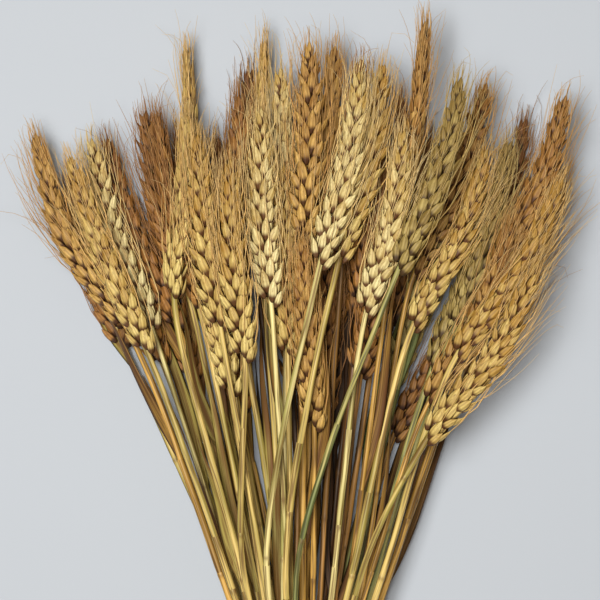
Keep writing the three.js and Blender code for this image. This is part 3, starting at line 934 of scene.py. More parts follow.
PALETTES = {
    PALE: Palette(
        husk=("#ede1a7", "#b79950", "#522a0b", "#775017"),
        straw=("#eadb98", "#a9a25c", "#6c501c"),
        awn=("#dab873", "#efdda9"),
    ),
    STRAW: Palette(
        husk=("#e2cc7f", "#ab8437", "#4a2407", "#694312"),
        straw=("#e0c577", "#9f9148", "#644514"),
        awn=("#d1a75e", "#ebd097"),
    ),
    GOLDEN: Palette(
        husk=("#d2ac5f", "#916529", "#3e1c05", "#5c360b"),
        straw=("#d6aa56", "#9c7832", "#52320c"),
        awn=("#bd8c47", "#e0ba79"),
    ),
    BROWN: Palette(
        husk=("#b58341", "#774a1a", "#311505", "#4a2908"),
        straw=("#bb8a48", "#7d5a28", "#3c2508"),
        awn=("#93602b", "#c79a5e"),
    ),
    DARK: Palette(
        husk=("#a97534", "#714518", "#2a1204", "#422408"),
        # The dark straws carry painted shade: they lie in the low rows, deep in the bundle
        straw=("#6e491f", "#402709", "#1a0c02"),
        awn=("#835524", "#b5874a"),
    ),
    OLIVE: Palette(
        husk=("#c8b46e", "#887036", "#3b2508", "#534012"),
        straw=("#b9b06a", "#748048", "#3f401b"),
        awn=("#b09049", "#d9c484"),
    ),
}
# The straws and leaves at the left take paler materials than their ears: painted light, as if the
# light fell harder on the left side
PAINTED_LIGHT_STRAWS = {DARK: GOLDEN, BROWN: STRAW}
PAINTED_LIGHT_FROM_X = -27.0


# Node trees


@dataclass(frozen=True)
class GrowthTree:
    """What the node trees share: a mesh goes in and the dressed shape comes out.

    Attributes:
        name: Name of the tree.
        sockets: Name and kind of each input after Geometry, and its value where it
            isn't nought.
    """

    name: str
    sockets: Sequence[tuple]

    def start(self) -> tuple[NodeTree, Node]:
        """Start the tree.

        Returns:
            The tree and the node that gives its inputs.
        """
        tree = bpy.data.node_groups.new(self.name, "GeometryNodeTree")
        for name, kind, *value in (("Geometry", "Geometry"), *self.sockets):
            socket = tree.interface.new_socket(name, in_out="INPUT", socket_type=f"NodeSocket{kind}")
            if value:
                socket.default_value = value[0]
        tree.interface.new_socket("Geometry", in_out="OUTPUT", socket_type="NodeSocketGeometry")
        return tree, add_node(tree, "NodeGroupInput")

    @staticmethod
    def dress(tree: NodeTree, shape: Node, material: NodeSocket) -> None:
        """End the tree: the shape is made real and gets its material.

        Args:
            tree: The tree.
            shape: Node that gives the shape.
            material: Socket that gives the material.
        """
        real = add_node(tree, "GeometryNodeRealizeInstances", {0: shape})
        dressed = {"Geometry": real, "Material": material}
        dressed = add_node(tree, "GeometryNodeSetMaterial", dressed)
        add_node(tree, "NodeGroupOutput", {0: dressed})


@dataclass(frozen=True)
class TubeTree(GrowthTree):
    """Node tree that runs a round section along each path of a mesh.

    The paths carry their radius in the attribute girth and their twist in the
    attribute twist. The tube's place in its own length is kept in the attribute
    grain, so that a pattern follows it.
    """

    name: str = "tube_along_path"
    sockets: Sequence[tuple] = (
        ("Sides", "Int"),
        ("Material", "Material"),
        ("Flatness", "Float", 1.0),
    )

    def build(self) -> NodeTree:
        """Build the tree.

        Returns:
            The tree.
        """
        tree, start = self.start()
        paths = add_node(tree, "GeometryNodeMeshToCurve", {0: start.outputs["Geometry"]})
        spline = add_node(tree, "GeometryNodeSplineParameter")
        girth, twist = (
            add_node(tree, "GeometryNodeInputNamedAttribute", {"Name": name}, data_type="FLOAT")
            for name in ("girth", "twist")
        )
        twisted = add_node(tree, "GeometryNodeSetCurveTilt", {"Curve": paths, "Tilt": twist})
        section = {"Resolution": start.outputs["Sides"], "Radius": 1.0}
        section = add_node(tree, "GeometryNodeCurvePrimitiveCircle", section)
        squash = {0: 1.0, 1: start.outputs["Flatness"], 2: 1.0}
        squash = add_node(tree, "ShaderNodeCombineXYZ", squash)
        flat = add_node(tree, "GeometryNodeTransform", {"Geometry": section, "Scale": squash})
        kept = []
        for curve, output in ((twisted, "Length"), (flat, "Factor")):
            capture = add_node(tree, "GeometryNodeCaptureAttribute")
            capture.capture_items.new("FLOAT", output)
            tree.links.new(curve.outputs[0], capture.inputs["Geometry"])
            tree.links.new(spline.outputs[output], capture.inputs[output])
            kept.append(capture.outputs)
        run, turn = kept
        tube = {"Curve": run["Geometry"], "Profile Curve": turn["Geometry"], "Scale": girth}
        tube = add_node(tree, "GeometryNodeCurveToMesh", {**tube, "Fill Caps": True})
        angle = {0: turn["Factor"], 1: math.tau}
        angle = add_node(tree, "ShaderNodeMath", angle, operation="MULTIPLY")
        place = {2: run["Length"]}
        for axis, operation in enumerate(("COSINE", "SINE")):
            part = add_node(tree, "ShaderNodeMath", {0: angle}, operation=operation)
            place[axis] = add_node(
                tree, "ShaderNodeMath", {0: part, 1: girth}, operation="MULTIPLY"
            )
        grain = add_node(tree, "ShaderNodeCombineXYZ", place)
        stored = add_node(
            tree,
            "GeometryNodeStoreNamedAttribute",
            {"Geometry": tube, "Name": "grain", "Value": grain},
            data_type="FLOAT_VECTOR",
            domain="POINT",
        )
        smooth = add_node(tree, "GeometryNodeSetShadeSmooth", {0: stored})
        self.dress(tree, smooth, start.outputs["Material"])
        return tree


@dataclass(frozen=True)
class SeatTree(GrowthTree):
    """Node tree that sets a shape on each point of a mesh.

    The points carry the shape's directions in the attributes forward and
    outward, and its size in the attribute size.
    """

    name: str = "shape_on_seats"
    sockets: Sequence[tuple] = (("Shape", "Object"), ("Material", "Material"))

    def build(self) -> NodeTree:
        """Build the tree.

        Returns:
            The tree.
        """
        tree, start = self.start()
        kind = {"data_type": "FLOAT_VECTOR"}
        forward, outward, size = (
            add_node(tree, "GeometryNodeInputNamedAttribute", {"Name": name}, **kind)
            for name in ("forward", "outward", "size")
        )
        axes = {"primary_axis": "Z", "secondary_axis": "Y"}
        turned = add_node(tree, "FunctionNodeAxesToRotation", {0: forward, 1: outward}, **axes)
        shape = {"Object": start.outputs["Shape"], "As Instance": True}
        shape = add_node(tree, "GeometryNodeObjectInfo", shape).outputs["Geometry"]
        placed = {"Points": start.outputs["Geometry"], "Instance": shape}
        placed |= {"Rotation": turned, "Scale": size}
        placed = add_node(tree, "GeometryNodeInstanceOnPoints", placed)
        self.dress(tree, placed, start.outputs["Material"])
        return tree


@dataclass(frozen=True)
class StalkTree(GrowthTree):
    """Node tree that grows a whole stalk on its skeleton of paths and seats."""

    name: str = "wheat_stalk"
    sockets: Sequence[tuple] = (
        *((sides, "Int") for sides in ("Stem Sides", "Awn Sides", "Blade Sides")),
        ("Blade Flatness", "Float"),
        *((shape, "Object") for shape in ("Glume", "Lemma", "Cut End")),
        *((finish, "Material") for finish in ("Straw", "Husk", "Awn", "Leaf")),
    )

    def build(self, tube: NodeTree, seat: NodeTree) -> NodeTree:
        """Build the tree.

        Args:
            tube: Tree that makes a tube along a path.
            seat: Tree that sets a shape on a seat.

        Returns:
            The tree.
        """
        tree, start = self.start()
        part = add_node(
            tree, "GeometryNodeInputNamedAttribute", {"Name": "part"}, data_type="INT"
        )
        whole = add_node(tree, "GeometryNodeJoinGeometry")
        for kind, group, *names in (
            (Part.STEM, tube, "Stem Sides", "Straw"),
            (Part.BLADE, tube, "Blade Sides", "Leaf", "Blade Flatness"),
            (Part.AWN, tube, "Awn Sides", "Awn"),
            (Part.GLUME, seat, "Glume", "Husk"),
            (Part.LEMMA, seat, "Lemma", "Husk"),
            (Part.MOUTH, seat, "Cut End", "Straw"),
        ):
            same = {"data_type": "INT", "operation": "EQUAL"}
            chosen = add_node(tree, "FunctionNodeCompare", {FOUND: part, WANTED: int(kind)}, **same)
            apart = {"Geometry": start.outputs["Geometry"], "Selection": chosen}
            apart = add_node(tree, "GeometryNodeSeparateGeometry", apart, domain="POINT")
            inputs = {0: apart}
            inputs |= {place: start.outputs[name] for place, name in enumerate(names, 1)}
            grown = add_node(tree, "GeometryNodeGroup", inputs, node_tree=group)
            tree.links.new(grown.outputs[0], whole.inputs[0])
        add_node(tree, "NodeGroupOutput", {0: whole})
        return tree


def grow(
    skeleton: Mesh, tree: NodeTree, inputs: Mapping[str, object], name: str
) -> Object:
    """Run a node tree on a skeleton and keep the result as a plain mesh.

    Args:
        skeleton: Mesh of paths and seats.
        tree: Node tree to run.
        inputs: Value of each of the tree's inputs, by name.
        name: Name of the finished object.

    Returns:
        An object at the origin that holds the mesh.
    """
    carrier = bpy.data.objects.new(name + "_skeleton", skeleton)
    bpy.context.scene.collection.objects.link(carrier)
    modifier = carrier.modifiers.new("grow", "NODES")
    modifier.node_group = tree
    for item in tree.interface.items_tree:
        if item.item_type == "SOCKET" and item.in_out == "INPUT" and item.name in inputs:
            modifier[item.identifier] = inputs[item.name]
    graph = bpy.context.evaluated_depsgraph_get()
    mesh = bpy.data.meshes.new_from_object(
        carrier.evaluated_get(graph), preserve_all_data_layers=True, depsgraph=graph
    )
    bpy.data.objects.remove(carrier)
    bpy.data.meshes.remove(skeleton)
    mesh.name = name
    grown = bpy.data.objects.new(name, mesh)
    bpy.context.scene.collection.objects.link(grown)
    return grown


# Repeated shapes


def closed_shape(
    name: str,
    rings: Sequence[Sequence[Sequence[float]]],
    tip: Sequence[float] | None,
    grain_scale: float,
) -> Object:
    """Close rings of points to a shape that isn't part of the scene.

    Args:
        name: Name of the shape.
        rings: Its rings from its foot on, as many points in each.
        tip: Point that it ends in, which makes it smooth, or None where its last
            ring is closed flat.
        grain_scale: Scale of its places in the attribute grain.

    Returns:
        The shape.
    """
    sides = len(rings[0])
    vertices = [point for ring in rings for point in ring]
    last = len(vertices) - sides
    faces = [tuple(range(sides))]
    for foot in range(0, last, sides):
        for side in range(sides):
            after = foot + (side + 1) % sides
            faces.append((foot + side, foot + side + sides, after + sides, after))
    if tip is None:
        faces.append(tuple(reversed(range(last, last + sides))))
    else:
        vertices.append(tip)
        faces += [(last + side, last + sides, last + (side + 1) % sides) for side in range(sides)]
    mesh = bpy.data.meshes.new(name)
    mesh.from_pydata(vertices, [], faces)
    mesh.polygons.foreach_set("use_smooth", [tip is not None] * len(faces))
    grain = mesh.attributes.new("grain", "FLOAT_VECTOR", "POINT")
    grain.data.foreach_set("vector", np.array(vertices, np.float32).ravel() * grain_scale)
    return bpy.data.objects.new(name, mesh)


@dataclass(frozen=True)
class HuskShape:
    """A husk of length one that bulges towards +Y and points along +Z.

    Attributes:
        name: Name of the shape.
        rings: Place along its length, half width and bulge of each ring.
        nod: How far its point bends inwards.
        section: Points of a ring of half width one and bulge one.
    """

    name: str
    rings: Sequence[tuple[float, float, float]]
    nod: float
    section: Sequence[tuple[float, float]] = (
        (-1.0, 0.0), (-0.7, 0.56), (0.0, 1.0), (0.7, 0.56), (1.0, 0.0), (0.0, 0.2)
    )

    def build(self) -> Object:
        """Build the husk.

        Returns:
            An object that isn't part of the scene.
        """
        rings = [
            [(x * width, y * bulge - self.nod * share**3, share) for x, y in self.section]
            for share, width, bulge in self.rings
        ]
        return closed_shape(self.name, rings, (0.0, -self.nod, 1.0), 1.0)


@dataclass(frozen=True)
class CutEnd:
    """The hollow cut end of a straw: a short cup of radius one, open at -Z."""

    name: str = "cut_end"
    bore: float = 0.62
    depth: float = 3.0
    sunk: float = 3.4
    sides: int = 10

    def build(self) -> Object:
        """Build the cup.

        Returns:
            An object that isn't part of the scene.
        """
        angles = np.arange(self.sides) * math.tau / self.sides
        levels = ((1.0, self.sunk), (1.0, 0.0), (self.bore, 0.0), (self.bore, self.depth))
        rings = [
            [(radius * math.cos(angle), radius * math.sin(angle), height) for angle in angles]
            for radius, height in levels
        ]
        return closed_shape(self.name, rings, None, MM)


GLUME = HuskShape(
    name="glume",
    rings=(
        (0.0, 0.4, 0.5), (0.1, 0.74, 0.85), (0.26, 0.96, 1.0), (0.46, 1.0, 0.95),
        (0.66, 0.84, 0.75), (0.84, 0.46, 0.4), (0.95, 0.12, 0.12),
    ),
    nod=0.0,
)
LEMMA = HuskShape(
    name="lemma",
    rings=(
        (0.0, 0.36, 0.5), (0.1, 0.68, 0.85), (0.26, 0.94, 1.0), (0.44, 1.0, 1.0),
        (0.62, 0.88, 0.8), (0.8, 0.54, 0.46), (0.93, 0.14, 0.14),
    ),
    nod=0.1,
)


# The stalks


@dataclass
class Skeleton:
    """Paths and seats of one piece, gathered before they become a mesh."""

    points: list[np.ndarray] = field(default_factory=list)
    edges: list[tuple[int, int]] = field(default_factory=list)
    values: dict[str, list[np.ndarray]] = field(default_factory=dict)

    def add(self, part: Part, points: np.ndarray, joined: bool, **values: object) -> None:
        """Add points of one part.

        Args:
            part: What the points carry.
            points: The points, in millimetres.
            joined: Whether the points are a path, each joined to the next.
            values: Attributes of the points: girth, twist, tone, mark, forward,
                outward and size, each one value or one for each point.
        """
        first = sum(map(len, self.points))
        count = len(points)
        self.points.append(points)
        if joined:
            self.edges += [(first + place, first + place + 1) for place in range(count - 1)]
        blanks = {"girth": 0.0, "twist": 0.0, "tone": 0.5, "mark": 0.0, "part": int(part)}
        blanks |= dict.fromkeys(("forward", "outward", "size"), (0.0, 0.0, 1.0))
        for name, blank in blanks.items():
            width = (count, 3) if isinstance(blank, tuple) else (count,)
            value = np.broadcast_to(values.get(name, blank), width)
            self.values.setdefault(name, []).append(value)

    def mesh(self, name: str, origin: np.ndarray) -> Mesh:
        """Make the mesh, in metres.

        Args:
            name: Name of the mesh.
            origin: Place of the bundle's own origin in the model, in millimetres.

        Returns:
            A mesh of points and edges with their attributes.
        """
        mesh = bpy.data.meshes.new(name)
        mesh.from_pydata(((np.vstack(self.points) + origin) * MM).tolist(), self.edges, [])
        for key, parts in self.values.items():
            value = np.concatenate(parts)
            if value.ndim == 2:
                kind, store, number = "FLOAT_VECTOR", "vector", np.float32
            elif key == "part":
                kind, store, number = "INT", "value", np.int32
            else:
                kind, store, number = "FLOAT", "value", np.float32
            layer = mesh.attributes.new(key, kind, "POINT")
            layer.data.foreach_set(store, value.astype(number).ravel())
        return mesh


@dataclass(frozen=True)
class Husk:
    """Where one husk sits in its spikelet and how large it is.

    Attributes:
        part: Which shape it has.
        foot: Its foot along the ear, outwards and upwards, in millimetres.
        lean: How far it leans outwards and upwards, in degrees.
        faces: How much its back faces outwards and upwards.
        size: Its half width, depth and length, in millimetres.
        awns: How many awns show at its point, its own and those of the small
            husks that it hides.
    """

    part: Part
    foot: tuple[float, float, float]
    lean: tuple[float, float]
    faces: tuple[float, float]
    size: tuple[float, float, float]
    awns: int = 0


SPIKELET = (
    Husk(Part.GLUME, (-0.8, 2.3, 1.2), (22, 11), (0.45, 0.9), (2.05, 1.5, 9.2)),
    Husk(Part.GLUME, (-0.8, 2.3, -1.2), (22, -11), (0.45, -0.9), (2.05, 1.5, 9.2)),
    Husk(Part.LEMMA, (0.8, 2.5, 0.0), (26, 0), (1.0, 0.0), (2.2, 1.7, 10.4), 2),
    Husk(Part.LEMMA, (3.0, 1.7, 0.2), (14, 4), (0.8, 0.6), (2.1, 1.8, 10.6), 1),
    Husk(Part.LEMMA, (1.4, 0.9, 0.9), (8, 12), (0.0, 1.0), (2.35, 1.8, 11.4), 1),
    Husk(Part.LEMMA, (1.4, 0.9, -0.9), (8, -12), (0.0, -1.0), (2.35, 1.8, 11.4), 1),
)
CROWN = (
    Husk(Part.GLUME, (0.0, 1.0, 0.0), (14, 0), (1.0, 0.0), (1.9, 1.4, 8.0)),
    Husk(Part.GLUME, (0.0, -1.0, 0.0), (-14, 0), (-1.0, 0.0), (1.9, 1.4, 8.0)),
    Husk(Part.LEMMA, (0.8, 0.0, 0.8), (0, 9), (0.0, 1.0), (2.0, 1.4, 9.8), 2),
    Husk(Part.LEMMA, (0.8, 0.0, -0.8), (0, -9), (0.0, -1.0), (2.0, 1.4, 9.8), 2),
)


@dataclass(frozen=True)
class AwnHabit:
    """How an awn grows.

    Attributes:
        past_tip: How far past the ear's tip it reaches, in millimetres.
        lean: How firmly it turns along the ear.
        inward: How much it keeps of its husk's direction, or turns from it.
        spread: How much the directions differ.
        curl: How much it curls.
        thickness: Its share of the full thickness.
    """

    past_tip: tuple[float, float]
    lean: float
    inward: float
    spread: float
    curl: float
    thickness: float


LYING = AwnHabit(past_tip=(-2, 9), lean=8.0, inward=-0.7, spread=0.07, curl=0.35, thickness=1.0)
STRAY = AwnHabit(past_tip=(6, 20), lean=3.0, inward=0.7, spread=0.15, curl=0.9, thickness=0.7)


@dataclass
class WheatStalk:
    """One dried stalk: its straw with what is left of its leaves, its ear of
    husks and its awns.

    Lengths are in millimetres and angles in degrees. A pair is the range of a draw
    where nothing else is said.

    Attributes:
        stalk: The stalk where it lies.
        husk_tone: What the stalk's shade, the husk's place and chance count in the
        tone of a husk, and what is added to them. The place darkens husks towards the
        ear's tip, partly their own browner colour and partly painted shade under the awns.
        right_painted_shade: Painted shade, as if the light fell from the left: what is added
        to the tone of the husks of a stalk with its neck at right_x, which darkens them.
        It shrinks towards the middle and is nothing at the left.
        husk_lift: Share of a husk's rise that keeps it off the table.
        wobble_lengths: How slowly the stem sways sideways and up and down.
        joint_rings: Places of a joint's rings, in half lengths of the joint.
        blade_taper: Powers that narrow a blade towards its point.
        blade_levels: How many levels of stems from the table up keep their blades.
        opening: How far open a blade or an awn starts, and how fast it opens.
    """

    stalk: Stalk
    seed: int = 4100
    shades: tuple[float, float] = (0.1, 0.9)
    ear_spikelets: int = 18
    first_spikelet: float = 0.15
    crown_share: float = 0.915
    size_draw: float = 0.13
    least_scale: float = 0.35
    least_length: float = 0.3
    fullness_ahead: float = 0.06
    lean_draw: float = 5.0
    openness: tuple[float, float] = (0.7, 1.2)
    roll_draw: float = 24.0
    husk_tone: tuple[float, float, float, float] = (0.35, 0.55, 0.4, -0.13)
    right_painted_shade: float = 0.3
    right_x: float = 60
    husk_floor: float = 0.3
    husk_lift: float = 0.35
    straw_start: float = 3.0
    stem_rings: int = 46
    stem_sides: int = 10
    stem_share: tuple[float, float] = (0.68, 0.92)
    stem_wobble: float = 0.12
    wobble_lengths: tuple[float, float] = (9.5, 13)
    wobble_from_tie: float = 30
    rachis_radius: float = 0.7
    joint_places: Sequence[tuple[float, float]] = ((66, 128), (14, 42), (-50, -22))
    joint_swell: float = 0.12
    joint_half_length: float = 1.1
    joint_rings: Sequence[float] = (-2.2, -1.2, -0.6, 0.0, 0.6, 1.2, 2.2)
    joint_darkness: float = 0.55
    sheath_length: tuple[float, float] = (24, 58)
    sheath_thickness: float = 0.16
    sheath_chance: float = 0.55
    sheath_rings: int = 12
    sheath_shade: float = 0.37
    blade_length: tuple[float, float] = (70, 120)
    blade_half_width: tuple[float, float] = (1.5, 2.8)
    blade_edge: float = 0.15
    blade_taper: tuple[float, float] = (2.5, 0.8)
    blade_aside: tuple[float, float] = (2.5, 7.0)
    blade_drop: tuple[float, float] = (-3.5, -0.5)
    blade_leave: float = 2.2
    blade_wave: float = 0.8
    blade_waves: tuple[float, float] = (5, 9)
    blade_roll: float = 0.6
    blade_twist: float = 2.2
    blade_floor: float = 1.4
    blade_flatness: float = 0.1
    blade_sides: int = 6
    blade_points: int = 22
    blade_levels: int = 6
    blade_shade: float = 0.61
    opening: tuple[float, float] = (0.45, 3)
    awn_radius: float = 0.16
    awn_point_radius: float = 0.045
    awn_taper: float = 0.7
    awn_sides: int = 3
    awn_points: int = 7
    awn_length_min: float = 7.0
    awn_length_max: float = 43
    awn_length_draw: tuple[float, float] = (0.75, 1.0)
    awn_root_share: float = 0.9
    awn_root_draw: tuple[float, float] = (-0.3, 0.1)
    husk_reach: float = 10
    stray_chance: float = 0.16
    awn_sway: tuple[float, float, float] = (1.0, 1.0, 0.6)
    awn_curl_power: float = 2.5
    awn_floor: float = 0.4

    def __post_init__(self) -> None:
        """Seed the stalk's own draws and set out its stem."""
        stalk = self.stalk
        self.draw = np.random.default_rng(self.seed + stalk.number)
        self.skeleton = Skeleton()
        self.shade = float(self.draw.uniform(*self.shades))
        # Painted shade: husks of stalks towards the right are darkened, as if the light fell from
        # the left
        self.right_side_shade = self.right_painted_shade * max(0.0, stalk.neck[0]) / self.right_x
        self.phase = self.draw.uniform(0, math.tau, 2)
        self.open = self.draw.uniform(*self.openness)
        self.roll = math.radians(stalk.turn + self.roll_draw * self.draw.uniform(-1, 1))
        self.thickness = self.draw.uniform(*self.stem_share)
        self.ear_end = stalk.neck_share + (1 - stalk.neck_share) * self.crown_share
        self.joints = [
            stalk.share_at(self.draw.uniform(*places)) * stalk.length
            for places in self.joint_places
        ]

    def stem_line(self, lengths: np.ndarray) -> np.ndarray:
        """Give the points of the stem, which is never quite straight.

        Args:
            lengths: Places along the stem, from the cut end.

        Returns:
            One point a row.
        """
        shares = lengths / self.stalk.length
        centre = self.stalk.centre(shares)
        _, across, upright = self.stalk.frame(shares)
        free = np.clip(np.abs(centre[:, 1]) / self.wobble_from_tie, 0, 1)
        free = free * np.clip((self.ear_end - shares) / (1 - self.stalk.neck_share), 0, 1)
        sway, bob = (
            self.stem_wobble * free * np.sin(lengths / length + phase)
            for length, phase in zip(self.wobble_lengths, self.phase)
        )
        return centre + across * sway[:, None] + upright * bob[:, None]

    def stem_radius(self, lengths: np.ndarray) -> np.ndarray:
        """Give the radius of the stem without its joints.

        Args:
            lengths: Places along the stem, from the cut end.

        Returns:
            The radius at each place.
        """
        places = [0, self.stalk.neck_share, self.ear_end]
        radii = [RULE.stem_radius_at_tie, RULE.stem_radius_at_neck, self.rachis_radius]
        return np.interp(lengths / self.stalk.length, places, radii) * self.thickness

    def unfold(self, steps: np.ndarray) -> np.ndarray:
        """Rise to one soon after the start of a blade or an awn."""
        start, slope = self.opening
        return np.minimum(1, start + steps * slope)

    def add_straw(self) -> None:
        """Add the straw, its joints and its hollow cut end."""
        end = self.ear_end * self.stalk.length
        lengths = np.linspace(self.straw_start, end, self.stem_rings)
        steps = np.array(self.joint_rings) * self.joint_half_length
        lengths = np.unique(np.concatenate([lengths, *(place + steps for place in self.joints)]))
        girth = self.stem_radius(lengths)
        mark = np.zeros(len(lengths))
        for place in self.joints:
            swell = np.exp(-(((lengths - place) / self.joint_half_length) ** 2))
            girth = girth * (1 + self.joint_swell * swell)
            mark = np.maximum(mark, swell * self.joint_darkness)
        line = self.stem_line(lengths)
        self.skeleton.add(Part.STEM, line, True, girth=girth * MM, tone=self.shade, mark=mark)
        foot = np.zeros(1)
        along, across, _ = self.stalk.frame(foot)
        radius = RULE.stem_radius_at_tie * self.thickness * MM
        seat = {"forward": along, "outward": across, "size": (radius, radius, MM)}
        self.skeleton.add(Part.MOUTH, self.stalk.centre(foot), False, tone=self.shade, **seat)

    def add_leaves(self) -> None:
        """Add what is left of the leaves: sheaths on the upper two joints and, low in
        the bundle, their dry blades, which also stand in for the shade between the low stems."""
        for joint in self.joints[:2]:
            if self.draw.uniform() > self.sheath_chance:
                continue
            length = self.draw.uniform(*self.sheath_length)
            lengths = np.linspace(joint, joint + length, self.sheath_rings)
            wrap = self.stem_radius(lengths) + self.sheath_thickness
            wrap[0] -= self.sheath_thickness
            shade = (self.shade + self.sheath_shade) % 1
            line = self.stem_line(lengths)
            self.skeleton.add(Part.STEM, line, True, girth=wrap * MM, tone=shade)
            # Blades low in the bundle are real leaves and also dark sheets that stand in for the
            # shade between the low stems
            if self.stalk.slot_z < RULE.tie_floor + self.blade_levels * RULE.stem_pitch:
                self.add_blade(joint + length)

    def add_blade(self, start: float) -> None:
        """Add a dry leaf blade that lies beside its stem.

        Args:
            start: Where it leaves the stem, as a length from the cut end.
        """
        draw = self.draw.uniform
        end = min(start + draw(*self.blade_length), self.ear_end * self.stalk.length)
        steps = np.linspace(0, 1, self.blade_points)
        lengths = start + (end - start) * steps
        _, across, upright = self.stalk.frame(lengths / self.stalk.length)
        aside = draw(*self.blade_aside) * self.draw.choice((-1, 1))
        drop = draw(*self.blade_drop)
        leave = np.sin(np.minimum(1, steps * self.blade_leave) * math.pi / 2)
        wave = self.blade_wave * np.sin(steps * draw(*self.blade_waves) + self.phase[0]) * steps
        path = self.stem_line(lengths)
        path = path + across * (aside * leave + wave)[:, None] + upright * (drop * leave)[:, None]
        path[:, 2] = np.maximum(path[:, 2], self.blade_floor)
        power, root = self.blade_taper
        width = draw(*self.blade_half_width) * self.unfold(steps)
        girth = width * (1 - steps**power) ** root + self.blade_edge
        twist = draw(-self.blade_roll, self.blade_roll)
        twist = twist + steps * draw(-self.blade_twist, self.blade_twist)
        shade = (self.shade + self.blade_shade) % 1
        self.skeleton.add(Part.BLADE, path, True, girth=girth * MM, twist=twist, tone=shade)

    def add_ear(self) -> None:
        """Add the ear's spikelets and the awns that grow from them."""
        for index in range(self.ear_spikelets):
            share = (index + self.first_spikelet) / self.ear_spikelets * self.crown_share
            self.add_spikelet(SPIKELET, share, 1 if index % 2 == 0 else -1)
        self.add_spikelet(CROWN, self.crown_share, 1)

    def add_spikelet(self, husks: Sequence[Husk], ear_share: float, side: int) -> None:
        """Add one spikelet.

        Args:
            husks: The husks that it has.
            ear_share: Its place along the ear.
            side: The side of the ear that it grows on, 1 or -1.
        """
        place = np.array([self.stalk.neck_share + (1 - self.stalk.neck_share) * ear_share])
        along, across, upright = (row[0] for row in self.stalk.frame(place, self.roll))
        centre = self.stalk.centre(place)[0]
        fullness = float(ear_fullness(np.array(min(1, ear_share + self.fullness_ahead))))
        outward = across * side
        # by_place darkens husks towards the ear's tip: partly their own colour, partly painted shade
        # under the awns
        by_shade, by_place, by_draw, tone = self.husk_tone
        for husk in husks:
            scale = self.least_scale + (1 - self.least_scale) * fullness
            scale = scale * (1 + self.size_draw * self.draw.uniform(-1, 1))
            lean_draw = self.lean_draw * self.draw.uniform(-1, 1, 2)
            lean_out, lean_up = np.radians(np.array(husk.lean) * self.open + lean_draw)
            forward = unit(
                along * math.cos(lean_out) * math.cos(lean_up)
                + outward * math.sin(lean_out)
                + upright * math.sin(lean_up)
            )
            ahead, out, up = husk.foot
            foot = centre + along * ahead + (outward * out + upright * up) * fullness
            back = unit(outward * husk.faces[0] + upright * husk.faces[1])
            width, depth, length = husk.size
            width, depth = width * scale, depth * scale
            length = length * (self.least_length + (1 - self.least_length) * scale)
            foot, forward = self.off_table(foot, forward * length, back, width, depth)
            self.skeleton.add(
                husk.part,
                foot[None],
                False,
                forward=forward,
                outward=back,
                size=np.array([width, depth, length]) * MM,
                tone=by_shade * self.shade
                + by_place * ear_share
                + by_draw * self.draw.uniform(0, 1)
                + tone
                + self.right_side_shade,
            )
            for _ in range(husk.awns):
                tip = foot + forward * length * self.awn_root_share
                tip = tip + back * self.draw.uniform(*self.awn_root_draw)
                self.add_awn(tip, forward, along, ear_share)

    def off_table(
        self, foot: np.ndarray, reach: np.ndarray, back: np.ndarray, width: float, depth: float
    ) -> tuple[np.ndarray, np.ndarray]:
        """Press a husk that would dip into the table flat against it.

        Args:
            foot: Foot of the husk.
            reach: The way from its foot to its point.
            back: Direction that its back faces.
            width: Its half width.
            depth: How far its back bulges.

        Returns:
            Its foot and the direction in which it points.
        """
        beside = math.sqrt(max(0.0, 1 - back[2] ** 2))
        needs = self.husk_floor + depth * max(0.0, -back[2]) + width * beside
        lift = max(0.0, needs - foot[2] - self.husk_lift * reach[2])
        raised = foot + np.array([0.0, 0.0, lift])
        level = max(reach[2], self.husk_floor - raised[2])
        return raised, unit(np.array([reach[0], reach[1], level]))

    def add_awn(
        self, root: np.ndarray, forward: np.ndarray, along: np.ndarray, ear_share: float
    ) -> None:
        """Add one awn. Most lie close along the ear, and a few stray from it.

        Args:
            root: Point of the husk that it grows from.
            forward: Direction in which it leaves the husk.
            along: Direction of the ear.
            ear_share: Place of its spikelet along the ear.
        """
        ear_length = math.dist(self.stalk.tip, self.stalk.neck)
        to_tip = (1 - ear_share) * ear_length - self.husk_reach
        habit = STRAY if self.draw.uniform() < self.stray_chance else LYING
        length = min(self.awn_length_max, to_tip + self.draw.uniform(*habit.past_tip))
        length = max(self.awn_length_min, length * self.draw.uniform(*self.awn_length_draw))
        steps = np.linspace(0, 1, self.awn_points)
        sway = self.draw.normal(0, habit.spread, 3) * self.awn_sway
        final = unit(along * habit.lean + forward * habit.inward + sway * habit.lean)
        curling = self.draw.normal(0, habit.curl, 3) * self.awn_sway
        curling = curling * (steps[:, None] ** self.awn_curl_power)
        bend = self.unfold(steps)[:, None]
        heading = unit(forward * (1 - bend) + final * bend + curling)
        stretch = length / (self.awn_points - 1)
        path = root + np.vstack([np.zeros(3), np.cumsum(heading[:-1] * stretch, axis=0)])
        path[:, 2] = np.maximum(path[:, 2], self.awn_floor)
        taper = (1 - steps) ** self.awn_taper
        girth = (habit.thickness * self.awn_radius * taper + self.awn_point_radius) * MM
        shade = self.draw.uniform(0, 1)
        self.skeleton.add(Part.AWN, path, True, girth=girth, tone=shade, mark=steps)

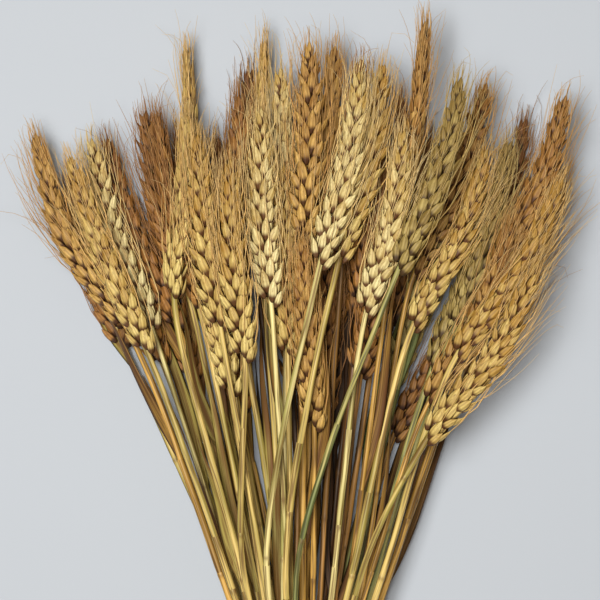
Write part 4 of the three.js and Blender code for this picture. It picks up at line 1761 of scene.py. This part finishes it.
    def build(
        self, tree: NodeTree, inputs: Mapping[str, object], origin: np.ndarray
    ) -> Object:
        """Build the stalk and place it on the model.

        Args:
            tree: Node tree that grows a stalk.
            inputs: Its shapes and materials, by name.
            origin: Place of the bundle's own origin in the model.

        Returns:
            The stalk's object.
        """
        self.add_straw()
        self.add_leaves()
        self.add_ear()
        name = f"wheat_stalk_{self.stalk.number:02d}"
        sizes = {
            "Stem Sides": self.stem_sides,
            "Awn Sides": self.awn_sides,
            "Blade Sides": self.blade_sides,
            "Blade Flatness": self.blade_flatness,
        }
        piece = grow(self.skeleton.mesh(name, origin), tree, {**inputs, **sizes}, name)
        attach(piece, "root")
        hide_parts(f"stalk_{self.stalk.number:02d}")
        return piece


# The twine


@dataclass
class TwineTie:
    """The jute twine: turns around the stems, a square knot and two trimmed ends.

    Lengths are in millimetres. Half a knot is the route of the twine that comes
    from the left, measured from the middle of the knot, on the band. The first
    strand starts square to strand_start. Values that start with end are of the
    fibres at a cut end, and with loose of those that stand off the turns.
    """

    seed: int = 61
    turns: int = 5
    turn_points: int = 120
    pitch: float = 1.6
    clearance: float = 0.35
    strands: int = 3
    strand_radius: float = 0.39
    strand_offset: float = 0.36
    strand_start: tuple[float, float, float] = (0.0, 1.0, 0.3)
    lay: float = 6.0
    step: float = 0.55
    least_points: int = 8
    sides: int = 6
    knot_middle: tuple[float, float] = (0.4, -0.4)
    knot_points: int = 8
    half_knot: Sequence[tuple[float, float, float]] = (
        (-10.5, -0.1, -1.1), (-6.5, -0.5, 0.2), (-4.0, -0.9, 0.7), (-2.2, -1.1, 0.7),
        (0.0, -1.6, 0.75), (1.8, -1.9, 1.6), (3.0, -1.2, 2.2), (3.4, 0.0, 2.3),
        (3.0, 1.2, 2.2), (1.8, 1.9, 2.2), (0.0, 1.6, 2.15), (-1.8, 1.1, 0.95),
        (-3.8, 0.9, 0.8), (-6.5, 1.9, 0.9), (-9.6, 3.0, 1.3),
    )
    splay: float = 0.55
    splay_length: float = 2.6
    loose_fibres: int = 130
    loose_spread: float = 0.35
    loose_root: float = 0.7
    end_fibres: int = 16
    end_ahead: float = 1.2
    end_spread: float = 0.55
    end_root: float = 0.4
    end_fibre_radius: float = 0.06
    fibre_radius: float = 0.035
    fibre_length: tuple[float, float] = (1.6, 4.2)
    fibre_points: int = 5
    fibre_bend: float = 0.9
    fibre_wander: float = 0.3
    fibre_out: float = 0.7
    fibre_aside: float = 0.6
    fibre_taper: float = 0.6

    def __post_init__(self) -> None:
        """Seed the twine's own draws."""
        self.draw = np.random.default_rng(self.seed)
        self.skeleton = Skeleton()

    @property
    def radius(self) -> float:
        """Radius of the whole twine."""
        return self.strand_radius + self.strand_offset

    def around(self, stalks: Sequence[Stalk]) -> np.ndarray:
        """Follow the twine around the stems.

        Args:
            stalks: The stalks that it holds.

        Returns:
            Points of its centre line over all its turns.
        """
        stems = np.array([(stalk.slot_x, stalk.slot_z - RULE.middle) for stalk in stalks])
        angles = np.linspace(0, self.turns * math.tau, self.turns * self.turn_points + 1)
        facing = np.column_stack([np.sin(angles), np.cos(angles)])
        outermost = stems[np.argmax(stems @ facing.T, axis=0)]
        reach = RULE.stem_radius_at_tie + self.clearance + self.radius
        loop = outermost + facing * reach
        y = (angles / math.tau - self.turns / 2) * self.pitch
        return np.column_stack([loop[:, 0], y, loop[:, 1] + RULE.middle])

    def add_twine(self, line: np.ndarray, splayed: bool = False) -> None:
        """Add one length of twine: strands that wind round each other.

        Args:
            line: Its centre line.
            splayed: Whether its last strands come apart, as a cut end does.
        """
        lengths = run_lengths(line)
        count = max(self.least_points, int(lengths[-1] / self.step))
        even = np.linspace(0, lengths[-1], count)
        centre = np.column_stack([np.interp(even, lengths, line[:, axis]) for axis in range(3)])
        along = unit(np.gradient(centre, axis=0))
        normal = unit(np.cross(along[0], self.strand_start))
        normals = []
        for direction in along:
            normal = unit(normal - direction * (normal @ direction))
            normals.append(normal)
        normals = np.array(normals)
        sides = np.cross(along, normals)
        apart = np.full(len(even), self.strand_offset)
        if splayed:
            apart += self.splay * np.clip(1 - (lengths[-1] - even) / self.splay_length, 0, 1) ** 2
        for strand in range(self.strands):
            angle = even / self.lay * math.tau + strand * math.tau / self.strands
            around = normals * np.cos(angle)[:, None] + sides * np.sin(angle)[:, None]
            path = centre + apart[:, None] * around
            self.skeleton.add(Part.STEM, path, True, girth=self.strand_radius * MM)
        if splayed:
            root = centre[-1] - along[-1] * self.end_root
            for _ in range(self.end_fibres):
                outward = along[-1] * self.end_ahead + self.draw.normal(0, self.end_spread, 3)
                self.add_fibre(root, unit(outward), along[-1], self.end_fibre_radius)

    def add_fibre(
        self, root: np.ndarray, outward: np.ndarray, along: np.ndarray, radius: float
    ) -> None:
        """Add one loose fibre.

        Args:
            root: Point of the twine that it comes out of.
            outward: Direction in which it leaves.
            along: Direction in which it bends.
            radius: How thick it is at its root.
        """
        steps = np.linspace(0, 1, self.fibre_points)[:, None]
        length = self.draw.uniform(*self.fibre_length)
        bend = along * self.draw.uniform(-self.fibre_bend, self.fibre_bend)
        bend = bend + self.draw.normal(0, self.fibre_wander, 3)
        path = outward * steps * self.fibre_out + bend * steps**2 * self.fibre_aside
        path = root + length * path
        path[:, 2] = np.maximum(path[:, 2], 2 * radius)
        girth = radius * (1 - self.fibre_taper * steps[:, 0])
        self.skeleton.add(Part.STEM, path, True, girth=girth * MM)

    def add_knot(self, top: float) -> None:
        """Add the square knot on top of the band: two halves that mirror each other.

        Args:
            top: Height of the band's top.
        """
        middle = np.array([*self.knot_middle, top])
        for turned in (1, -1):
            route = np.array(self.half_knot) * (turned, turned, 1)
            self.add_twine(smooth_through(middle + route, self.knot_points), splayed=True)

    def add_loose_fibres(self, line: np.ndarray) -> None:
        """Add the fibres that stand off the turns.

        Args:
            line: Centre line of the turns.
        """
        axis = np.array([0.0, 0.0, RULE.middle])
        for place in self.draw.integers(1, len(line) - 1, self.loose_fibres):
            outward = unit((line[place] - axis) * (1, 0, 1))
            outward = unit(outward + self.draw.normal(0, self.loose_spread, 3))
            along = unit(line[place + 1] - line[place - 1])
            root = line[place] + outward * self.radius * self.loose_root
            self.add_fibre(root, outward, along, self.fibre_radius)

    def build(
        self,
        stalks: Sequence[Stalk],
        tree: NodeTree,
        material: Material,
        origin: np.ndarray,
    ) -> Object:
        """Build the tie and place it on the model.

        Args:
            stalks: The stalks that it holds.
            tree: Node tree that makes tubes.
            material: Its finish.
            origin: Place of the bundle's own origin in the model.

        Returns:
            The tie's object.
        """
        line = self.around(stalks)
        self.add_twine(line)
        self.add_knot(float(line[:, 2].max()) + self.radius)
        self.add_loose_fibres(line)
        name = "jute_twine_tie"
        inputs = {"Sides": self.sides, "Material": material}
        piece = grow(self.skeleton.mesh(name, origin), tree, inputs, name)
        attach(piece, "root")
        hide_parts("twine_tie")
        return piece


# The studio


@dataclass(frozen=True)
class Softbox:
    """Square light that faces the bundle. Its sizes are in metres and watts."""

    name: str
    place: tuple[float, float, float]
    size: float
    power: float
    tint: str

    def build(self, aim: Vector) -> None:
        """Build the light.

        Args:
            aim: Point that it faces.
        """
        lamp = bpy.data.lights.new(self.name, "AREA")
        lamp.shape = "SQUARE"
        lamp.size = self.size
        lamp.energy = self.power
        lamp.color = linear(self.tint)[:3]
        light = bpy.data.objects.new(self.name, lamp)
        turned = (aim - Vector(self.place)).to_track_quat("-Z", "Y").to_matrix().to_4x4()
        light.matrix_world = Matrix.Translation(self.place) @ turned
        bpy.context.scene.collection.objects.link(light)


@dataclass(frozen=True)
class Studio:
    """Plain pale table, soft light and a camera that looks straight down.

    Lengths are in metres.
    """

    view_middle: tuple[float, float] = (-0.00084, 0.06285)
    view_width: float = 0.252
    subject_height: float = 0.045
    camera_distance: float = 1.1
    camera_near: float = 0.01
    sensor: float = 36.0
    table_side: float = 6.0
    air_tint: str = "#ffe2ba"
    air_strength: float = 0.1
    lights: Sequence[Softbox] = (
        Softbox("key_softbox", (-0.2, 0.1, 1.4), 0.42, 24.0, "#fffaf0"),
        Softbox("fill_softbox", (0.7, 0.3, 1.1), 1.4, 1.0, "#fff0dd"),
    )

    def build(self) -> None:
        """Build the table, the lights and the camera."""
        self.add_table()
        for light in self.lights:
            light.build(Vector((*self.view_middle, 0.0)))
        world = bpy.data.worlds.new("studio_air")
        world.use_nodes = True
        air = world.node_tree.nodes["Background"]
        air.inputs["Color"].default_value = linear(self.air_tint)
        air.inputs["Strength"].default_value = self.air_strength
        scene = bpy.context.scene
        scene.world = world
        scene.view_settings.view_transform = "Standard"
        self.add_camera()

    def add_table(self) -> None:
        """Add the table that the bundle lies on."""
        half = self.table_side / 2
        corners = [(-half, -half, 0), (half, -half, 0), (half, half, 0), (-half, half, 0)]
        mesh = bpy.data.meshes.new("table")
        mesh.from_pydata(corners, [], [(0, 1, 2, 3)])
        mesh.materials.append(TableFinish().make("matt_painted_board"))
        table = bpy.data.objects.new("table", mesh)
        bpy.context.scene.collection.objects.link(table)

    def add_camera(self) -> None:
        """Add the camera, with the ears towards the top of the picture."""
        camera = bpy.data.cameras.new("camera")
        camera.sensor_width = self.sensor
        camera.lens = self.sensor * self.camera_distance / self.view_width
        camera.clip_start = self.camera_near
        holder = bpy.data.objects.new("camera", camera)
        holder.location = (*self.view_middle, self.subject_height + self.camera_distance)
        bpy.context.scene.collection.objects.link(holder)
        bpy.context.scene.camera = holder


def bundle_origin() -> np.ndarray:
    """Find the bundle's own origin in the model: the middle of the band.

    Returns:
        Its place in millimetres, on the table.
    """
    low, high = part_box("twine_tie")
    return np.array([(low.x + high.x) / 2, (low.y + high.y) / 2, 0.0]) / MM


def report(piece: Object) -> int:
    """Log how many triangles a piece has.

    Args:
        piece: The piece.

    Returns:
        Their number.
    """
    triangles = sum(len(polygon.vertices) - 2 for polygon in piece.data.polygons)
    LOG.info("%s: %d triangles", piece.name, triangles)
    return triangles


def main() -> None:
    """Build the bundle and the studio around it."""
    logging.basicConfig(level=logging.INFO, format="%(name)s: %(message)s")
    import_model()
    Studio().build()
    origin = bundle_origin()
    stalks = lay_stalks()
    tube = TubeTree().build()
    tree = StalkTree().build(tube, SeatTree().build())
    shapes = {"Glume": GLUME.build(), "Lemma": LEMMA.build(), "Cut End": CutEnd().build()}
    materials = {tone: PALETTES[tone].make(tone) for tone in Tone}
    triangles = 0
    for stalk in stalks:
        inputs = shapes | materials[stalk.tone]
        # Painted light: stalks at the left get the straws and leaves of a paler tone
        if stalk.neck[0] < PAINTED_LIGHT_FROM_X:
            paler = materials[PAINTED_LIGHT_STRAWS.get(stalk.tone, stalk.tone)]
            inputs |= {"Straw": paler["Straw"], "Leaf": paler["Leaf"]}
        triangles += report(WheatStalk(stalk).build(tree, inputs, origin))
    jute = TwineFinish().make("twisted_jute_twine")
    triangles += report(TwineTie().build(stalks, tube, jute, origin))
    LOG.info("the whole bundle: %d triangles", triangles)


if __name__ == "__main__":
    main()
